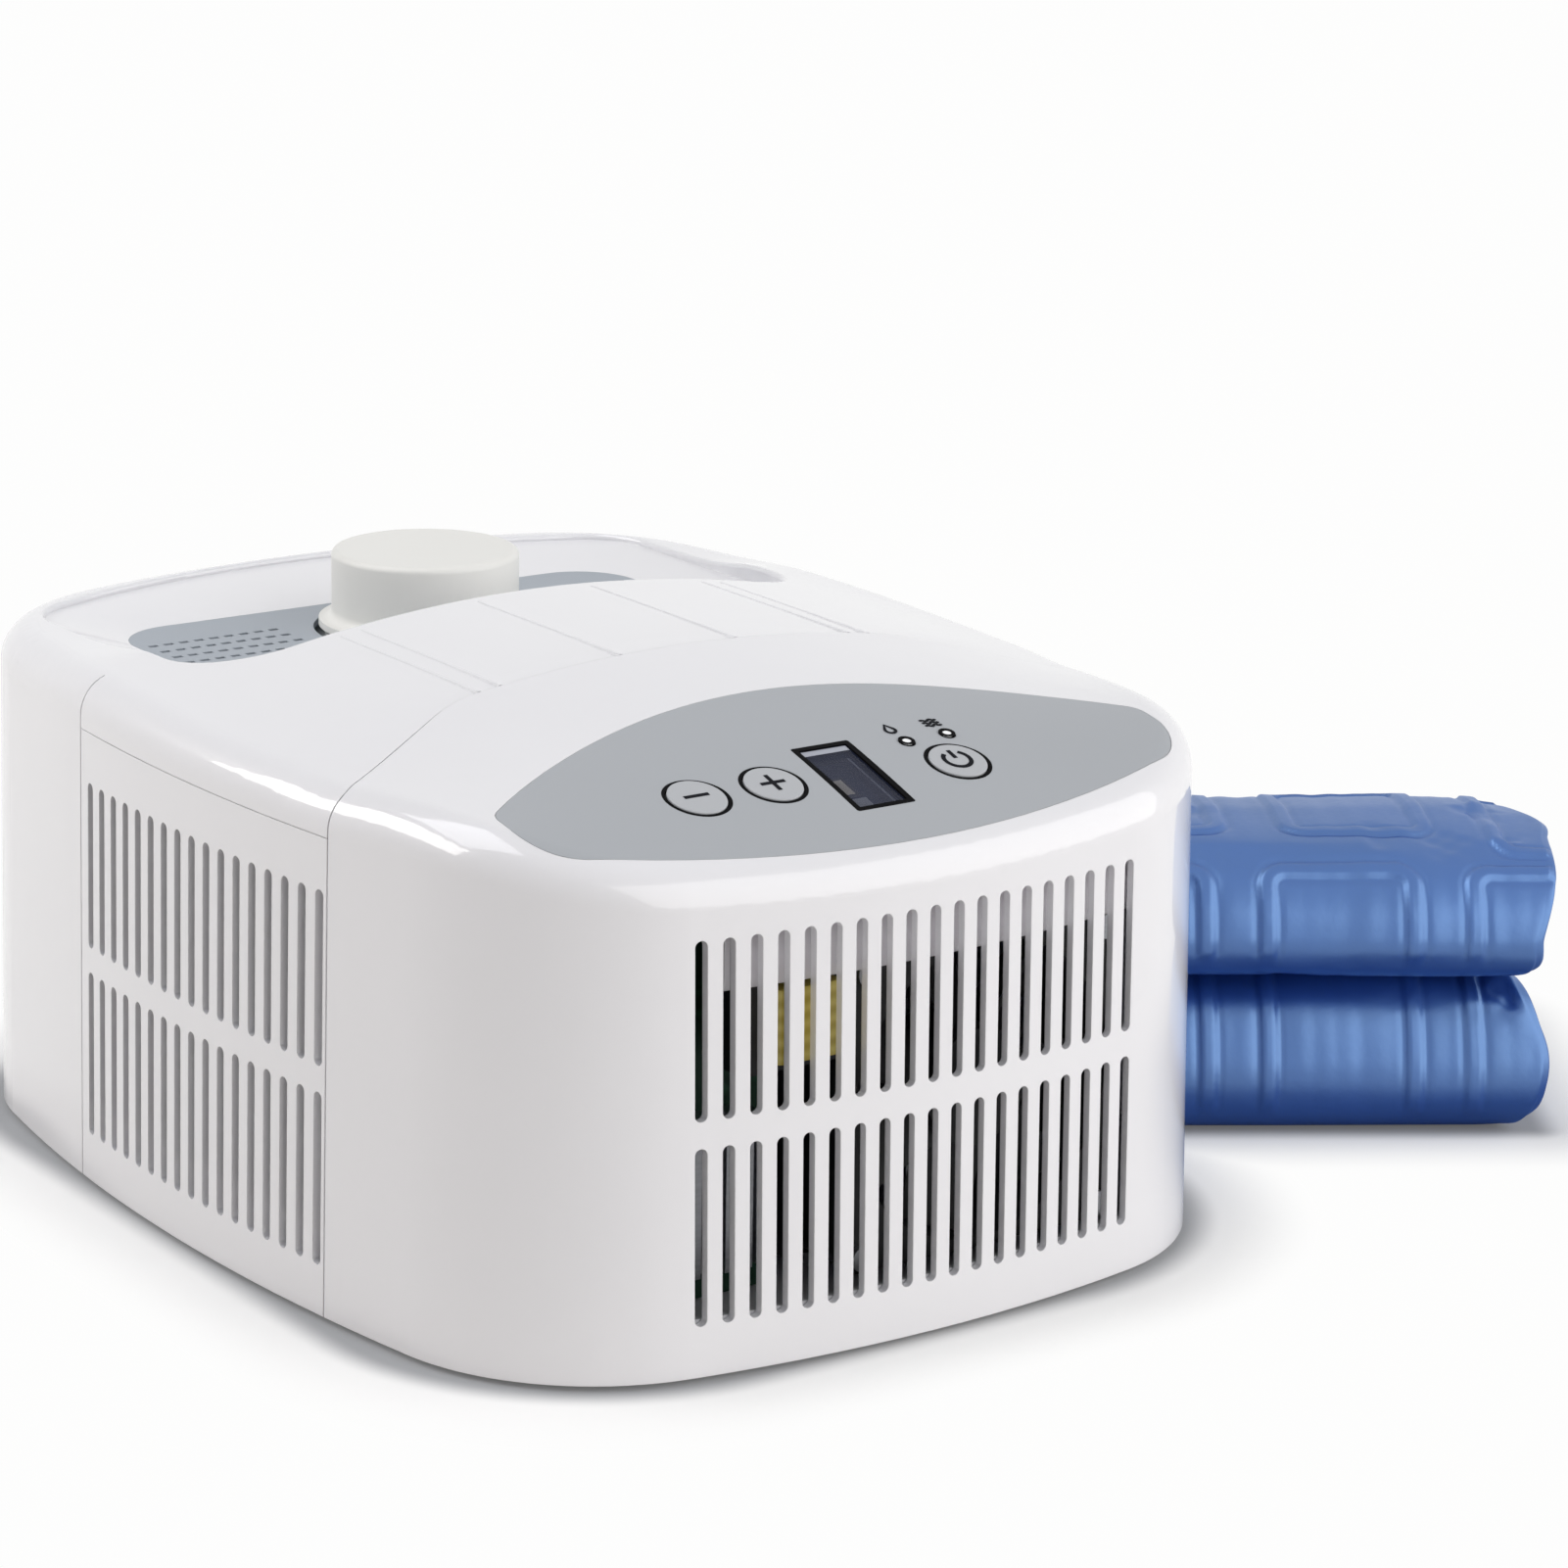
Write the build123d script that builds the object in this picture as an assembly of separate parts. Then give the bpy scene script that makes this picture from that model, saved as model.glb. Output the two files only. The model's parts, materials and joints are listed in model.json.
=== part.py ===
from build123d import *
import math
import os

# Water cooling mattress pad: a bedside unit that chills water and pumps it through a folded pad.
# Millimetres. The origin is under the middle of the unit, on the surface that it stands on.
# +X runs to the right along the front, +Y to the back and +Z up. The front looks along -Y.

# Housing plan: four bowed sides with round corners, leaning in towards the top
HOUSING_WIDTH = 280.0
HOUSING_DEPTH = 362.8
FRONT_BOW = 24.5
REAR_BOW = 30.8
SIDE_BOW = 23.7
CORNER_RADIUS = 68.0
LEAN_PER_MM = 0.0187
WALL = 2.6
SKIRT = 1.5
SHOULDER_RADIUS = 12.0

# Top: a level crowned hood, a fascia that falls towards the front and a lower rim round the back
HOOD_HEIGHT = 169.1
CROWN_RADIUS = 440.0
CROWN_START_Y = -150.0
CROWN_RUN = 95.0
RIDGE_Y = -55.0
RIDGE_SLOPE = 0.1305
FASCIA_BEND = 0.00105
RIM_DROP = 17.1
RIM_HEIGHT = HOOD_HEIGHT - RIM_DROP
RIM_BLEND = 4.0
KNEE_BLEND = 1.0
SIDE_FALL = 4.5
SIDE_FALL_START_Y = 60.0
SIDE_FALL_RUN = 150.0
CORNER_FALL = 12.0
CORNER_FALL_START_Y = -80.0
CORNER_FALL_RUN = 100.0
HOOD_FADE_DEPTH = 12.0
HOOD_FADE_START_Y = 60.0
HOOD_FADE_RUN = 70.0
SKIN_MARGIN = 12.0
SKIN_STEP = 12.5

# Seams between the covers
SEAM_GAP = 0.5
SHOULDER_SEAM_GAP = 0.2
FRONT_SEAM_Y = -82.5
REAR_SEAM_Y = 56.0
SEAM_BEHIND_RIDGE = 1.0
SHOULDER_SEAM_DROP = 13.5
SHOULDER_SEAM_Z = RIM_HEIGHT - SHOULDER_SEAM_DROP
SEAM_SHOULDER_X = 127.0
SEAM_RIDGE_X = 76.0
SEAM_SHOULDER_BEND = 8.0
SEAM_RIDGE_BEND = 30.0
SHOULDER_LINE_X = 127.0
SHOULDER_LINE_DEPTH = 0.5

# Ventilation slots
SLOT_WIDTH = 3.6
SLOT_PITCH = 8.0
LOW_ROW = (16.0, 66.0)
HIGH_ROW = (73.5, 123.5)
FRONT_SLOTS = 19
SIDE_SLOTS = 17
SIDE_SLOT_MID_Y = -15.0

# Side grille panel edges
LAP = 4.0
LAP_THICKNESS = 1.8
LAP_CLEARANCE = 0.2
LAP_REACH = 1.7
LAP_TOP = SHOULDER_SEAM_Z + LAP_REACH

# Ribs along the hood
RIB_X = (20.0, 60.0, 67.0)
RIB_RADIUS = 1.0
RIB_STAND = 0.55
RIB_FRONT_Y = -54.0
RIB_REAR_Y = 22.0

# Rear dish with its perforated floor plate
DISH_HALF_WIDTH = 108.0
DISH_FRONT_Y = 28.0
DISH_REAR_Y = 166.5
DISH_REAR_RADIUS = 240.0
DISH_FRONT_CORNER = 28.0
DISH_REAR_CORNER = 22.0
DISH_LIP = 1.5
DISH_LIP_RADIUS = 1.2
DISH_DEPTH = 6.0
DISH_FLOOR_HEIGHT = RIM_HEIGHT - DISH_DEPTH
DISH_FLOOR_HALF_WIDTH = 90.0
DISH_FLOOR_Y = (42.0, 127.0)
DISH_FLOOR_CORNER = 20.0
DISH_UNDER = 4.6
PLATE_THICKNESS = 2.0
PLATE_CLEARANCE = 0.2
PLATE_LEDGE = 3.0
PERFORATION = (3.2, 2.0)
PERFORATION_PITCH = (5.2, 7.7)
PERFORATION_COLUMNS = 9
PERFORATION_ROWS = 5
PERFORATION_MID = (64.0, 90.0)
NECK_HOLE_RADIUS = 34.6

# Filler cap, seal and neck
FILLER_Y = 86.5
CAP_RADIUS = 29.0
CAP_FLANGE_RADIUS = 33.0
CAP_HEIGHT = 23.7
CAP_OVER_DISH = 0.8
CAP_BOTTOM = DISH_FLOOR_HEIGHT + CAP_OVER_DISH
CAP_TOP = CAP_BOTTOM + CAP_HEIGHT
CAP_WALL = 2.4
CAP_ROOF = 2.6
CAP_FLANGE_HEIGHT = 2.2
CAP_FLARE = 3.0
CAP_EDGE = 2.0
NECK_RADIUS = 25.0
NECK_BORE_RADIUS = 21.0
SEAL_RADIUS = 25.4
SEAL_THICKNESS = 3.3
SEAL_CLEARANCE = 0.3
NECK_TOP = CAP_TOP - CAP_ROOF - SEAL_THICKNESS - 2 * SEAL_CLEARANCE
COLLAR_RADIUS = 31.0

# Control panel: a lens-shaped plate inlaid in the fascia
PANEL_UPPER_Y = -90.3
PANEL_UPPER_RADIUS = 174.0
PANEL_LOWER_Y = -171.8
PANEL_LOWER_RADIUS = 300.0
PANEL_HALF_WIDTH = 109.0
PANEL_UPPER_CORNER = 7.0
PANEL_LOWER_CORNER = 20.0
PANEL_THICKNESS = 1.2
PANEL_CLEARANCE = 0.15

# Display and keys, placed on a tilted plane through the middle of the display
FASCIA_Y = -139.8
DISPLAY_WIDTH = 19.5
DISPLAY_LENGTH = 34.0
DISPLAY_BORDER = 1.8
DISPLAY_CORNER = 0.8
DISPLAY_DEPTH = 5.5
DISPLAY_LEDGE = 0.8
GLASS_THICKNESS = 1.2
GLASS_SUNK = 0.3
KEY_PLACES = {"key_left": (-50.5, 1.6), "key_middle": (-25.5, 1.6), "key_right": (34.5, -2.2)}
KEY_RADIUS = 8.4
KEY_GAP = 0.3
KEY_RING_RADIUS = 9.75
KEY_PROUD = 0.4
KEY_TRAVEL = 0.6
KEY_FLANGE_RADIUS = 9.9
KEY_FLANGE_THICKNESS = 1.2
KEY_FLANGE_GAP = 0.9
KEY_STEM_RADIUS = 2.0
KEY_DOME = 0.35
RING_SUNK = 0.3
FIT = 0.05
LIGHT_PLACES = ((26.3, 11.2), (40.9, 12.0))
LIGHT_RADIUS = 1.7
LIGHT_RING_RADIUS = 2.5
LIGHT_PROUD = 0.3
BOARD_SIZE = (168.0, 46.0, 1.6)
BOARD_DEPTH = 10.4
BOARD_CORNER_RADIUS = 3.0
BOARD_POSTS = ((-78.0, 14.0), (78.0, 14.0), (-78.0, -14.0), (78.0, -14.0))
BOARD_POST_RADIUS = 3.5
BOARD_SCREW_RADIUS = 1.4
BOARD_SCREW_HEAD_RADIUS = 2.8
BOARD_SCREW_COVER = 2.0
SWITCH_SIZE = (6.2, 6.2, 3.4)
PLUNGER_RADIUS = 1.7
PLUNGER_HEIGHT = 0.9
PLUNGER_GAP = KEY_TRAVEL + 0.1

# Base tray, feet and housing screws
TRAY_BOTTOM = 3.0
TRAY_FLOOR = 3.0
TRAY_CLEARANCE = 0.3
TRAY_LIP = 2.0
TRAY_LIP_TOP = 17.0
POST_RADIUS = 4.5
POST_TOP = 48.0
POST_RIB = 2.5
POST_RIB_REACH = 44.0
POST_RIB_BOTTOM = 18.0
POST_PAD = 3.0
POST_PAD_RADIUS = 7.0
FRONT_POSTS = ((-101.0, -146.0), (101.0, -146.0))
REAR_POSTS = ((-98.0, 141.0), (98.0, 141.0))
SCREW_RADIUS = 1.45
SCREW_HEAD_RADIUS = 3.0
SCREW_HEAD_HEIGHT = 2.2
SCREW_REACH = 14.0
SCREW_END_GAP = 2.0
FOOT_RADIUS = 9.0
FOOT_SOCKET = 1.5
FOOT_EDGE = 1.0
FOOT_PLACES = ((-92.0, -112.0), (92.0, -112.0), (-92.0, 112.0), (92.0, 112.0))

# Water tank
TANK_HALF_WIDTH = 80.0
TANK_Y = (26.0, 140.0)
TANK_BOTTOM = 20.0
TANK_WALL = 2.6
TANK_CORNER = 14.0
TANK_LID = 3.0
TANK_UNDER_DISH = 0.6
TANK_TOP = DISH_FLOOR_HEIGHT - DISH_UNDER - TANK_UNDER_DISH - TANK_LID
TANK_RAIL_X = 56.0
RAIL_WIDTH = 3.0

# Radiator and fan
FAN_X = 28.0
FAN_Z = 62.0
FAN_SIZE = 92.0
FAN_DEPTH = 25.4
FAN_FRONT_Y = -165.8
FAN_BORE_RADIUS = 43.6
FAN_CORNER = 5.0
FAN_HOLE_SPACING = 82.5
FAN_HOLE_RADIUS = 2.15
FAN_SCREW_HEAD = (3.65, 2.0)
FAN_HUB_RADIUS = 18.0
FAN_HUB_LENGTH = 15.0
FAN_HUB_SETBACK = 2.5
FAN_BLADES = 7
FAN_BLADE_TIP = 42.4
FAN_BLADE_PITCH = 38.0
FAN_BLADE_CHORD = 19.0
FAN_BLADE_THICKNESS = 1.6
FAN_MOTOR_LENGTH = 4.0
FAN_MOTOR_CAP = 1.0
FAN_STRUT_WIDTH = 5.0
FAN_SHAFT_RADIUS = 2.0
FAN_SHAFT_END_GAP = 0.5
SHROUD_DEPTH = 8.4
SHROUD_BORE_RADIUS = 44.5
RADIATOR_WIDTH = 98.0
RADIATOR_HEIGHT = 96.0
RADIATOR_DEPTH = 26.0
RADIATOR_COLUMNS = 14
RADIATOR_ROWS = 6
FIN_THICKNESS = 1.0
TUBE_THICKNESS = 2.4
END_TANK_WIDTH = 12.0
END_TANK_EDGE = 3.0

# Pump, hoses and rear connectors
PUMP_X = -58.0
PUMP_Y = -12.0
PUMP_RADIUS = 20.0
PUMP_HEIGHT = 44.0
PUMP_CHAMBER_HEIGHT = 24.2
PUMP_MOTOR_RADIUS = 16.0
PUMP_EDGE = 2.0
PUMP_PAD_HEIGHT = 3.0
PUMP_PORT_Z = 34.0
BARB_RADIUS = 3.6
BARB_BORE_RADIUS = 2.4
HOSE_RADIUS = 5.6
HOSE_CLEARANCE = 0.05
HOSE_LEAD = 1.0
BARB_REACH = 9.0
RADIATOR_INLET_Z = 96.0
RADIATOR_OUTLET_Z = 30.0
CONNECTOR_Z = 60.0
PRESSURE_SWEEP = 50.0
PRESSURE_BENDS = (18.0, 30.0)
SUPPLY_LEAD = 38.0
SUPPLY_SIDE = ((109.0, -30.0, 34.0), (109.0, 60.0, 52.0))
SUPPLY_CORNER = (106.0, 124.0)
SUPPLY_TURN_Y = 148.0
SUPPLY_BENDS = (28.0, 60.0, 60.0, 20.0, 14.0)
SUPPLY_X = 72.0
RETURN_X = 40.0
CONNECTOR_FLANGE_RADIUS = 11.0
CONNECTOR_FLANGE = 3.0
CONNECTOR_NOSE_RADIUS = 5.0
CONNECTOR_NOSE = 16.0
CONNECTOR_NECK_RADIUS = 7.0

# Power inlet and electrics
INLET_X = -62.0
INLET_Z = 42.0
INLET_SIZE = (27.0, 19.5)
INLET_FLANGE = (36.0, 27.0)
INLET_FLANGE_THICKNESS = 2.4
INLET_DEPTH = 20.0
INLET_POCKET = (23.0, 15.5, 15.0)
INLET_CORNER = 3.0
INLET_PIN = (2.0, 4.0, 9.0)
INLET_PIN_PITCH = 7.0
INLET_PIN_SHIFTS = (1.0, -2.0, 1.0)
POWER_BOARD_X = (-116.0, -28.0)
POWER_BOARD_Y = -138.0
POWER_BOARD_THICKNESS = 1.6
POWER_BOARD_Z = (7.0, 116.0)
WINDING_X = (-46.5, -25.5)
WINDING_Z = (84.0, 105.0)
WINDING_DEPTH = 34.0
WINDING_EDGE = 2.5
CORE_LEG = 5.0
CORE_DEPTH = 16.0
CAPACITORS = ((-86.0, 88.0, 9.0, 20.0), (-70.0, 58.0, 7.0, 18.0), (-92.0, 58.0, 7.0, 18.0))
CAPACITOR_EDGE = 1.0
COOLING_BLOCK_X = (-60.0, -34.0)
COOLING_BLOCK_Z = (19.0, 62.0)
COOLING_BLOCK_DEPTH = 14.0
COOLING_GROOVES = 4
COOLING_GROOVE = 2.4
COOLING_WEB = 4.0

# Folded pad: its place on the floor, then its section as distances back and up
PAD_LEFT = (147.2, -69.7)
PAD_ANGLE = -32.4
PAD_LENGTH = 143.0
PAD_END_TAPER = 0.93
PAD_END_RUN = 9.0
PAD_MIDDLE = (52.0, 12.0)
PAD_FOOT_BACK = (104.0, 0.5)
PAD_FOOT_FRONT = (2.0, 0.5)
PAD_LOWER_BULGE = (-11.0, 24.0)
PAD_PINCH_LOW = (2.0, 47.0)
PAD_SLIT_END = (48.0, 48.0)
PAD_PINCH_HIGH = (2.0, 49.5)
PAD_UPPER_BULGE = (-11.5, 68.0)
PAD_TOP_FRONT = (6.0, 86.5)
PAD_TOP_CREST = (36.0, 90.5)
PAD_TOP_BACK = (66.0, 88.0)
PAD_BACK_SHOULDER = (97.0, 74.0)
PAD_BACK_TOP = (112.0, 50.0)
PAD_BACK_BULGE = (116.0, 26.0)
PAD_WELD_RADIUS = 1.0
PAD_UPPER_WELDS = (29.3, 35.0, 47.0, 53.0, 92.1, 98.1, 111.0, 115.6)
PAD_LOWER_WELDS = (31.1, 37.7, 49.2, 55.8, 94.3, 100.4, 112.5, 118.0)

# Spare length of a cutter past the piece that it cuts
OVERCUT = 1.0

NODES = {}


def keep(name, *solids):
    """Files one or more solids under a node name."""
    NODES[name] = list(solids)


def solid_of(shape):
    """The one solid of a shape that should hold just one."""
    found = shape.solids()
    if len(found) != 1:
        raise ValueError(f"expected one solid, found {len(found)}")
    return found[0]


def span_box(x, y, z):
    """A box between pairs of limits."""
    size = (x[1] - x[0], y[1] - y[0], z[1] - z[0])
    middle = ((x[0] + x[1]) / 2, (y[0] + y[1]) / 2, (z[0] + z[1]) / 2)
    return Pos(*middle) * Box(*size)


def upright(x, y, radius, low, high):
    """A cylinder standing along Z."""
    return Pos(x, y, (low + high) / 2) * Cylinder(radius, high - low)


def along_y(x, z, radius, front, back):
    """A cylinder lying along Y."""
    return Pos(x, (front + back) / 2, z) * Rot(90, 0, 0) * Cylinder(radius, back - front)


def both(shape):
    """A shape and its mirror image across the YZ plane."""
    return [shape, mirror(shape, Plane.YZ)]


# Housing envelope


def bow_radius(chord, bow):
    half = chord / 2
    return (half * half + bow * bow) / (2 * bow)


def outline(inset):
    """Plan of the housing, drawn in by inset."""
    half_width = HOUSING_WIDTH / 2 - inset
    half_depth = HOUSING_DEPTH / 2 - inset
    front = bow_radius(HOUSING_WIDTH, FRONT_BOW) - inset
    rear = bow_radius(HOUSING_WIDTH, REAR_BOW) - inset
    side = bow_radius(HOUSING_DEPTH, SIDE_BOW) - inset
    plan = Pos(0, front - half_depth) * Circle(front)
    plan &= Pos(0, half_depth - rear) * Circle(rear)
    plan &= Pos(half_width - side, 0) * Circle(side)
    plan &= Pos(side - half_width, 0) * Circle(side)
    return fillet(plan.vertices(), CORNER_RADIUS - inset)


def leaning_prism(inset, low, high):
    """The housing's walls as a solid block between two heights."""
    ends = [Pos(0, 0, z) * outline(inset + LEAN_PER_MM * z) for z in (low, high)]
    return loft(ends, ruled=True)


def ease(t):
    """0 to 1 with level ends."""
    t = min(max(t, 0.0), 1.0)
    return t * t * (3 - 2 * t)


def soft_max(a, b, blend):
    return (a + b + math.sqrt((a - b) ** 2 + blend * blend)) / 2


def soft_min(a, b, blend):
    return (a + b - math.sqrt((a - b) ** 2 + blend * blend)) / 2


def fascia_height(y):
    """Profile of the fascia on the middle line, falling forward from the ridge."""
    ahead = RIDGE_Y - y
    return HOOD_HEIGHT - RIDGE_SLOPE * ahead - FASCIA_BEND * ahead * ahead


def crown_drop(x, y):
    share = ease((y - CROWN_START_Y) / CROWN_RUN)
    return share * x * x / (2 * CROWN_RADIUS)


def side_rim(y):
    fall = SIDE_FALL * ease((SIDE_FALL_START_Y - y) / SIDE_FALL_RUN)
    fall += CORNER_FALL * ease((CORNER_FALL_START_Y - y) / CORNER_FALL_RUN)
    return RIM_HEIGHT - fall


def front_top(x, y):
    """Height of the front cover's top."""
    return soft_max(fascia_height(y) - crown_drop(x, y), side_rim(y), RIM_BLEND)


def rear_top(x, y):
    """Height of the hood, its flanks and the rear rim."""
    level = soft_min(fascia_height(y), HOOD_HEIGHT, KNEE_BLEND) if y < RIDGE_Y / 2 else HOOD_HEIGHT
    fade = ease((y - HOOD_FADE_START_Y) / HOOD_FADE_RUN)
    hood = (level - crown_drop(x, y)) * (1 - fade) + (RIM_HEIGHT - HOOD_FADE_DEPTH) * fade
    return soft_max(hood, side_rim(y), RIM_BLEND)


def below(height, drop):
    """A block whose top is the surface z = height(x, y) - drop."""
    half_x = HOUSING_WIDTH / 2 + SKIN_MARGIN
    half_y = HOUSING_DEPTH / 2 + SKIN_MARGIN
    columns = round(2 * half_x / SKIN_STEP) + 1
    rows = round(2 * half_y / SKIN_STEP) + 1
    grid = []
    for i in range(columns):
        x = -half_x + 2 * half_x * i / (columns - 1)
        line = []
        for j in range(rows):
            y = -half_y + 2 * half_y * j / (rows - 1)
            line.append(Vector(x, y, height(x, y) - drop))
        grid.append(line)
    skin = Face.make_surface_from_array_of_points(grid, tol=0.05, min_deg=3, max_deg=5)
    return Solid.extrude(skin, Vector(0, 0, -HOOD_HEIGHT - SKIN_MARGIN))


def envelope(height, inset):
    """The whole housing as a block under one top surface, with its rounded shoulder."""
    block = solid_of(leaning_prism(inset, SKIRT - 1, HOOD_HEIGHT + SKIN_MARGIN) & below(height, inset))
    crest = block.faces().sort_by(Axis.Z)[-1]
    return fillet(crest.edges(), SHOULDER_RADIUS - inset)


def seam_zone(behind):
    """Everything behind, or in front of, the seam that rises at the sides and crosses the ridge."""
    far = HOUSING_DEPTH
    shift = SEAM_GAP / 2 if behind else -SEAM_GAP / 2
    ridge = RIDGE_Y + SEAM_BEHIND_RIDGE + shift
    shoulder = FRONT_SEAM_Y + shift
    end = far if behind else -far
    corners = [(-far, shoulder), (-SEAM_SHOULDER_X, shoulder), (-SEAM_RIDGE_X, ridge)]
    corners += [(-x, y) for x, y in reversed(corners)]
    corners += [(far, end), (-far, end)]
    plan = make_face(Polyline(*corners, close=True))
    outer = [v for v in plan.vertices() if SEAM_RIDGE_X + 1 < abs(v.X) < SEAM_SHOULDER_X + 1]
    plan = fillet(outer, SEAM_SHOULDER_BEND)
    inner = [v for v in plan.vertices() if abs(v.X) < SEAM_RIDGE_X + 1]
    plan = fillet(inner, SEAM_RIDGE_BEND)
    return extrude(Pos(0, 0, SKIRT) * plan, HOOD_HEIGHT + SKIN_MARGIN)


def slot_cutters(count, middle):
    """Upright slots in two rows, ready to cut along Y, in steps along X."""
    profile = Sketch()
    for low, high in (LOW_ROW, HIGH_ROW):
        for i in range(count):
            place = middle + SLOT_PITCH * (i - (count - 1) / 2)
            slot = Rot(0, 0, 90) * SlotOverall(high - low, SLOT_WIDTH)
            profile += Pos(place, (low + high) / 2) * slot
    return profile


def screw_post(place, seat):
    """A post for a housing screw, ribbed to the wall outside it."""
    x, y = place
    post = upright(x, y, POST_RADIUS, seat, POST_TOP)
    outward = Pos(x, y, 0) * Rot(0, 0, math.degrees(math.atan2(y, x)))
    rib = outward * span_box((0, POST_RIB_REACH), (-POST_RIB / 2, POST_RIB / 2), (POST_RIB_BOTTOM, POST_TOP))
    bore = upright(x, y, SCREW_RADIUS + FIT, seat - OVERCUT, seat + SCREW_REACH)
    return post + rib, bore


# Control panel


FASCIA_TILT = math.degrees(math.atan(RIDGE_SLOPE + 2 * FASCIA_BEND * (RIDGE_Y - FASCIA_Y)))
FASCIA = Plane(
    origin=(0, FASCIA_Y, fascia_height(FASCIA_Y)),
    x_dir=(1, 0, 0),
    z_dir=(0, -math.sin(math.radians(FASCIA_TILT)), math.cos(math.radians(FASCIA_TILT))),
)
FASCIA_AXIS = Axis((0, 0, 0), FASCIA.z_dir)


def fascia_rise(u, v):
    """How far the fascia's surface stands off its tilted plane at a place on that plane."""
    point = FASCIA.from_local_coords(Vector(u, v, 0))
    return (front_top(point.X, point.Y) - point.Z) * math.cos(math.radians(FASCIA_TILT))


def ring_seat(u, v):
    """Level of the little step that a key ring or light ring sits on."""
    return fascia_rise(u, v) - PANEL_THICKNESS - RING_SUNK


def on_fascia(u, v, radius, low, high):
    """A cylinder along the fascia's normal."""
    return FASCIA * Pos(u, v, (low + high) / 2) * Cylinder(radius, high - low)


def on_fascia_box(u, v, width, length, low, high, corner=0.0):
    """A round-cornered block along the fascia's normal."""
    profile = RectangleRounded(width, length, corner) if corner else Rectangle(width, length)
    return FASCIA * Pos(u, v, low) * extrude(profile, high - low)


def panel_plan(grow):
    """Lens outline of the control panel."""
    upper = PANEL_UPPER_RADIUS + grow
    lower = PANEL_LOWER_RADIUS + grow
    half = PANEL_HALF_WIDTH + grow
    lens = Pos(0, PANEL_UPPER_Y - PANEL_UPPER_RADIUS) * Circle(upper)
    lens &= Pos(0, PANEL_LOWER_Y + PANEL_LOWER_RADIUS) * Circle(lower)
    lens &= Pos(0, (PANEL_UPPER_Y + PANEL_LOWER_Y) / 2) * Rectangle(2 * half, HOUSING_WIDTH)
    corners = lens.vertices().sort_by(Axis.Y)
    lens = fillet(corners[:2], PANEL_LOWER_CORNER + grow)
    tips = lens.vertices().sort_by(Axis.Y)
    return fillet(tips[-2:], PANEL_UPPER_CORNER + grow)


def panel_block(grow):
    return extrude(Pos(0, 0, RIM_HEIGHT / 2) * panel_plan(grow), RIM_HEIGHT)


def make_front(outer, inner):
    """Front cover, its control panel, keys, display and control board."""
    under_panel = below(front_top, PANEL_THICKNESS)
    cover = (outer - inner) & seam_zone(behind=False)

    ribs = []
    bores = []
    for place in FRONT_POSTS:
        post, bore = screw_post(place, TRAY_BOTTOM + TRAY_FLOOR + POST_PAD)
        ribs.append(post & leaning_prism(WALL / 2, SKIRT, HOOD_HEIGHT))
        bores.append(bore)
    for u, v in BOARD_POSTS:
        post = on_fascia(u, v, BOARD_POST_RADIUS, -BOARD_DEPTH, WALL)
        ribs.append(post & below(front_top, WALL / 2))
        bores.append(on_fascia(u, v, BOARD_SCREW_RADIUS + FIT, -BOARD_DEPTH - OVERCUT, -WALL - OVERCUT))
    cover = cover + ribs

    cuts = [panel_block(PANEL_CLEARANCE) - under_panel]
    slots = Plane.XZ.offset(HOUSING_DEPTH / 4) * slot_cutters(FRONT_SLOTS, 0)
    cuts.append(extrude(slots, HOUSING_DEPTH / 2))
    holes = []
    for u, v in KEY_PLACES.values():
        cuts.append(on_fascia(u, v, KEY_RADIUS + 2 * KEY_GAP, -3 * WALL, WALL))
        cuts.append(on_fascia(u, v, KEY_RING_RADIUS + FIT, ring_seat(u, v), WALL))
        holes.append(on_fascia(u, v, KEY_RING_RADIUS + FIT, -WALL, WALL))
    for u, v in LIGHT_PLACES:
        cuts.append(on_fascia(u, v, LIGHT_RADIUS + 2 * FIT, -3 * WALL, WALL))
        cuts.append(on_fascia(u, v, LIGHT_RING_RADIUS + FIT, ring_seat(u, v), WALL))
        holes.append(on_fascia(u, v, LIGHT_RING_RADIUS + FIT, -WALL, WALL))
    frame = (DISPLAY_WIDTH + 2 * FIT, DISPLAY_LENGTH + 2 * FIT)
    opening = on_fascia_box(0, 0, *frame, -3 * WALL, WALL, DISPLAY_CORNER)
    cover = solid_of(cover - cuts - bores - opening)
    keep("front_cover", cover)

    panel = (panel_block(0) & outer) - under_panel
    keep("control_panel", solid_of(panel - holes - opening))

    glass_low = -GLASS_SUNK - GLASS_THICKNESS
    window_size = (DISPLAY_WIDTH - 2 * DISPLAY_BORDER, DISPLAY_LENGTH - 2 * DISPLAY_BORDER)
    well_size = (window_size[0] - 2 * DISPLAY_LEDGE, window_size[1] - 2 * DISPLAY_LEDGE)
    bezel = on_fascia_box(0, 0, DISPLAY_WIDTH, DISPLAY_LENGTH, -DISPLAY_DEPTH, WALL, DISPLAY_CORNER)
    bezel -= on_fascia_box(0, 0, *window_size, glass_low, 2 * WALL)
    bezel -= on_fascia_box(0, 0, *well_size, -DISPLAY_DEPTH - OVERCUT, 0)
    keep("display_bezel", solid_of(bezel & outer))
    keep("display_window", on_fascia_box(0, 0, *window_size, glass_low, -GLASS_SUNK))
    module_size = (DISPLAY_WIDTH - DISPLAY_CORNER, DISPLAY_LENGTH - DISPLAY_CORNER)
    keep("display_module", on_fascia_box(0, 0, *module_size, -BOARD_DEPTH, -DISPLAY_DEPTH))


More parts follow.
